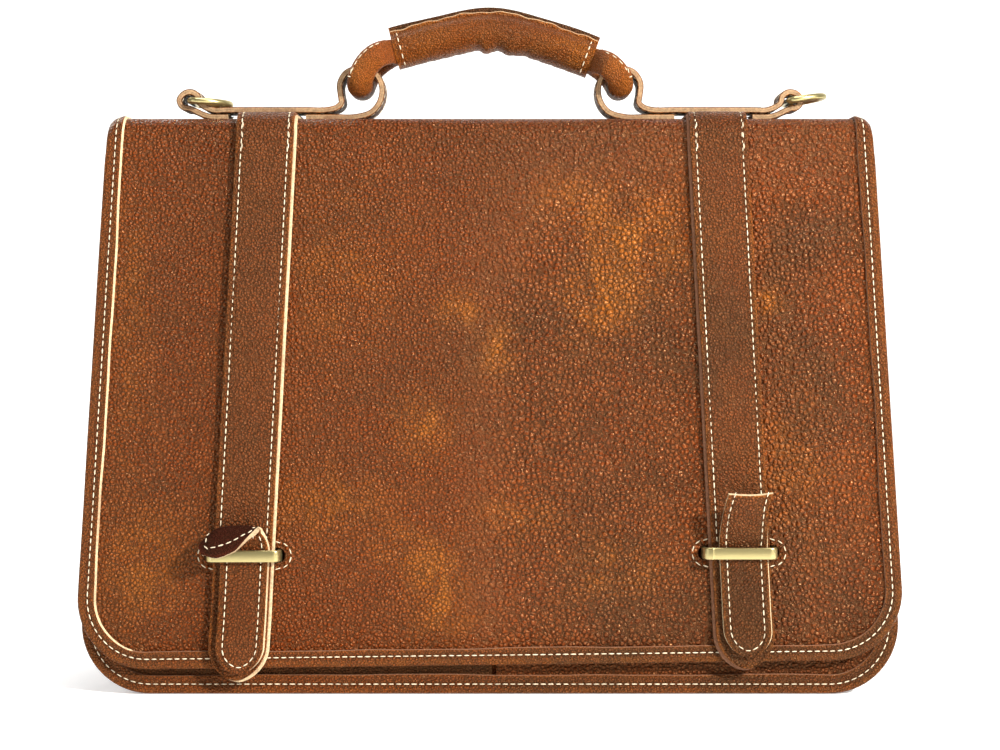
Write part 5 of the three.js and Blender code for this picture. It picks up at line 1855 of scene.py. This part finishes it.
def thread_tree(thread):
    """Nodes that set one small thread at each step along every row, turned along it."""
    tree = bpy.data.node_groups.new("Stitches along rows", "GeometryNodeTree")
    sockets = {}
    for name, kind in (("Rows", "NodeSocketGeometry"), ("Pitch", "NodeSocketFloat"),
                       ("Length", "NodeSocketFloat"), ("Width", "NodeSocketFloat"),
                       ("Seed", "NodeSocketInt")):
        sockets[name] = tree.interface.new_socket(name, in_out="INPUT", socket_type=kind).identifier
    tree.interface.new_socket("Stitches", in_out="OUTPUT", socket_type="NodeSocketGeometry")
    given = tree.nodes.new("NodeGroupInput").outputs
    result = tree.nodes.new("NodeGroupOutput")
    line = add_node(tree, "GeometryNodeMeshToCurve", {"Mesh": given["Rows"]})
    stepped = add_node(tree, "GeometryNodeResampleCurve", {
        "Curve": line.outputs["Curve"], "Length": given["Pitch"]}, mode="LENGTH")
    tangent = add_node(tree, "GeometryNodeInputTangent").outputs[0]
    facing = add_node(tree, "GeometryNodeInputNamedAttribute", {"Name": "facing"}, data_type="FLOAT_VECTOR")
    along = add_node(tree, "FunctionNodeAlignRotationToVector", {"Vector": tangent}, axis="X")
    upright = add_node(tree, "FunctionNodeAlignRotationToVector", {
        "Rotation": along.outputs[0], "Vector": facing.outputs["Attribute"]}, axis="Z", pivot_axis="X")
    half = add_node(tree, "ShaderNodeMath", {0: given["Length"], 1: 0.5}, operation="MULTIPLY").outputs[0]
    wide = add_node(tree, "ShaderNodeMath", {0: given["Width"], 1: 0.5}, operation="MULTIPLY").outputs[0]
    high = add_node(tree, "ShaderNodeMath", {0: given["Width"], 1: 0.42}, operation="MULTIPLY").outputs[0]
    size = add_node(tree, "ShaderNodeCombineXYZ", {0: half, 1: wide, 2: high}).outputs[0]
    ball = add_node(tree, "GeometryNodeMeshUVSphere", {"Segments": 10, "Rings": 6, "Radius": 1.0})
    turned = add_node(tree, "GeometryNodeTransform", {
        "Geometry": ball.outputs["Mesh"], "Rotation": (0.0, math.pi / 2, 0.0)})
    strand = add_node(tree, "GeometryNodeTransform", {"Geometry": turned.outputs[0], "Scale": size})
    uneven = add_node(tree, "FunctionNodeRandomValue", {"Seed": given["Seed"]}, data_type="FLOAT_VECTOR")
    uneven.inputs[0].default_value = (0.86, 0.85, 0.85)
    uneven.inputs[1].default_value = (1.05, 1.1, 1.1)
    placed = add_node(tree, "GeometryNodeInstanceOnPoints", {
        "Points": stepped.outputs[0], "Instance": strand.outputs[0],
        "Rotation": upright.outputs[0], "Scale": uneven.outputs[0]})
    real = add_node(tree, "GeometryNodeRealizeInstances", {"Geometry": placed.outputs[0]})
    shaded = add_node(tree, "GeometryNodeSetShadeSmooth", {"Geometry": real.outputs[0]})
    dressed = add_node(tree, "GeometryNodeSetMaterial", {"Geometry": shaded.outputs[0]})
    dressed.inputs["Material"].default_value = thread
    tree.links.new(dressed.outputs[0], result.inputs[0])
    return tree, sockets


class CASE_OT_stitching(Operator):
    """All the thread: along the bindings, straps, tongues, slots, bands and handle"""
    bl_idname = "leather_case.stitching"
    bl_label = "Stitching"

    def execute(self, context):
        points, edges, facing = [], [], []
        for line, outwards in stitch_rows():
            start = len(points)
            points += ((line + np.array([0, MIDDLE_Y, 0])) * MM).tolist()
            edges += [(start + i, start + i + 1) for i in range(len(line) - 1)]
            facing += outwards.tolist()
        mesh = bpy.data.meshes.new("stitching")
        mesh.from_pydata(points, edges, [])
        layer = mesh.attributes.new("facing", "FLOAT_VECTOR", "POINT")
        layer.data.foreach_set("vector", np.array(facing, np.float32).ravel())
        stitching = bpy.data.objects.new("stitching", mesh)
        bpy.context.collection.objects.link(stitching)
        tree, sockets = thread_tree(finish("thread"))
        sewn = stitching.modifiers.new("sewn", "NODES")
        sewn.node_group = tree
        chosen = settings().stitching
        sewn[sockets["Pitch"]] = chosen.pitch
        sewn[sockets["Length"]] = chosen.length
        sewn[sockets["Width"]] = chosen.width
        sewn[sockets["Seed"]] = chosen.seed
        settle(stitching)
        add_piece(stitching, "case", "leather_binding")
        return {"FINISHED"}


# Stage: floor, light and camera

FRONT_FACE = -38.0
AIM_X, AIM_HEIGHT = 4.9, 156.0
FOCAL_LENGTH = 73.8


def backdrop():
    """A pale floor that curves up behind the case."""
    profile = [(-3.0, 0.0), (1.2, 0.0)]
    profile += [(1.2 + 0.8 * math.sin(t), 0.8 - 0.8 * math.cos(t))
                for t in np.linspace(0.15, math.pi / 2, 12)]
    profile += [(2.0, 3.5)]
    points, faces = [], []
    for y, z in profile:
        points += [(-4.0, y, z), (4.0, y, z)]
    for i in range(len(profile) - 1):
        faces.append((2 * i, 2 * i + 1, 2 * i + 3, 2 * i + 2))
    mesh = bpy.data.meshes.new("studio_floor")
    mesh.from_pydata(points, [], faces)
    mesh.materials.append(finish("studio floor"))
    mesh.shade_smooth()
    floor = bpy.data.objects.new("studio_floor", mesh)
    bpy.context.collection.objects.link(floor)


def area_light(name, place, target, power, size, colour=(1, 1, 1)):
    light = bpy.data.lights.new(name, "AREA")
    light.energy, light.shape, light.size, light.color = power, "DISK", size, colour
    lamp = bpy.data.objects.new(name, light)
    lamp.location = place
    lamp.rotation_euler = (Vector(target) - Vector(place)).to_track_quat("-Z", "Y").to_euler()
    bpy.context.collection.objects.link(lamp)


class CASE_OT_stage(Operator):
    """Pale floor, soft studio light and the camera at the photograph's angle"""
    bl_idname = "leather_case.stage"
    bl_label = "Stage"

    def execute(self, context):
        backdrop()
        middle = (0, 0, 0.15)
        area_light("key", (1.25, -1.15, 1.0), middle, 70, 0.22, (1.0, 0.97, 0.92))
        area_light("fill", (-1.5, -1.5, 0.6), middle, 6, 1.2, (0.95, 0.97, 1.0))
        area_light("top", (0.1, -0.2, 1.7), middle, 16, 0.9)
        area_light("rim", (-0.9, 1.0, 1.1), middle, 10, 0.8)
        world = bpy.data.worlds.new("studio")
        world.use_nodes = True
        sky = world.node_tree.nodes["Background"]
        sky.inputs["Color"].default_value = (1, 1, 1, 1)
        seen = add_node(world.node_tree, "ShaderNodeLightPath").outputs["Is Camera Ray"]
        world.node_tree.links.new(ranged(world.node_tree, seen, 0.0, 1.0, 0.11, 1.0), sky.inputs["Strength"])
        scene = context.scene
        scene.world = world
        scene.view_settings.view_transform = "Standard"
        scene.view_settings.look = "None"
        stage = settings().stage
        camera = bpy.data.cameras.new("camera")
        camera.lens, camera.sensor_width = FOCAL_LENGTH, 36.0
        view = bpy.data.objects.new("camera", camera)
        front = (FRONT_FACE + MIDDLE_Y) * MM
        view.location = (AIM_X * MM, front - stage.camera_distance, stage.camera_height)
        aim = Vector((AIM_X * MM, front, AIM_HEIGHT * MM))
        view.rotation_euler = (aim - view.location).to_track_quat("-Z", "Y").to_euler()
        bpy.context.collection.objects.link(view)
        scene.camera = view
        return {"FINISHED"}


class CASE_PT_panel(Panel):
    """Lists the steps that build the case and its settings"""
    bl_label = "Leather case"
    bl_idname = "CASE_PT_panel"
    bl_space_type = "VIEW_3D"
    bl_region_type = "UI"
    bl_category = "Case"

    def draw(self, context):
        layout = self.layout
        for step in STEPS:
            layout.operator(step.bl_idname)
        case = context.scene.leather_case
        for group in (case.colours, case.grain, case.stitching, case.stage):
            box = layout.box()
            for name in group.bl_rna.properties.keys():
                if name not in ("rna_type", "name"):
                    box.prop(group, name)


SETTING_GROUPS = (CaseColours, CaseGrain, CaseStitching, CaseStage, CaseSettings)
STEPS = (
    CASE_OT_stage, CASE_OT_body, CASE_OT_flap, CASE_OT_straps, CASE_OT_brass, CASE_OT_handle,
    CASE_OT_anchors, CASE_OT_stitching,
)


def register():
    for group in (*SETTING_GROUPS, *STEPS, CASE_PT_panel):
        bpy.utils.register_class(group)
    bpy.types.Scene.leather_case = PointerProperty(type=CaseSettings)


def unregister():
    del bpy.types.Scene.leather_case
    for group in reversed((*SETTING_GROUPS, *STEPS, CASE_PT_panel)):
        bpy.utils.unregister_class(group)


def main():
    register()
    bpy.ops.leather_case.stage()
    bpy.ops.leather_case.body()
    bpy.ops.leather_case.flap()
    bpy.ops.leather_case.straps()
    bpy.ops.leather_case.brass()
    bpy.ops.leather_case.handle()
    bpy.ops.leather_case.anchors()
    bpy.ops.leather_case.stitching()


if __name__ == "__main__":
    main()
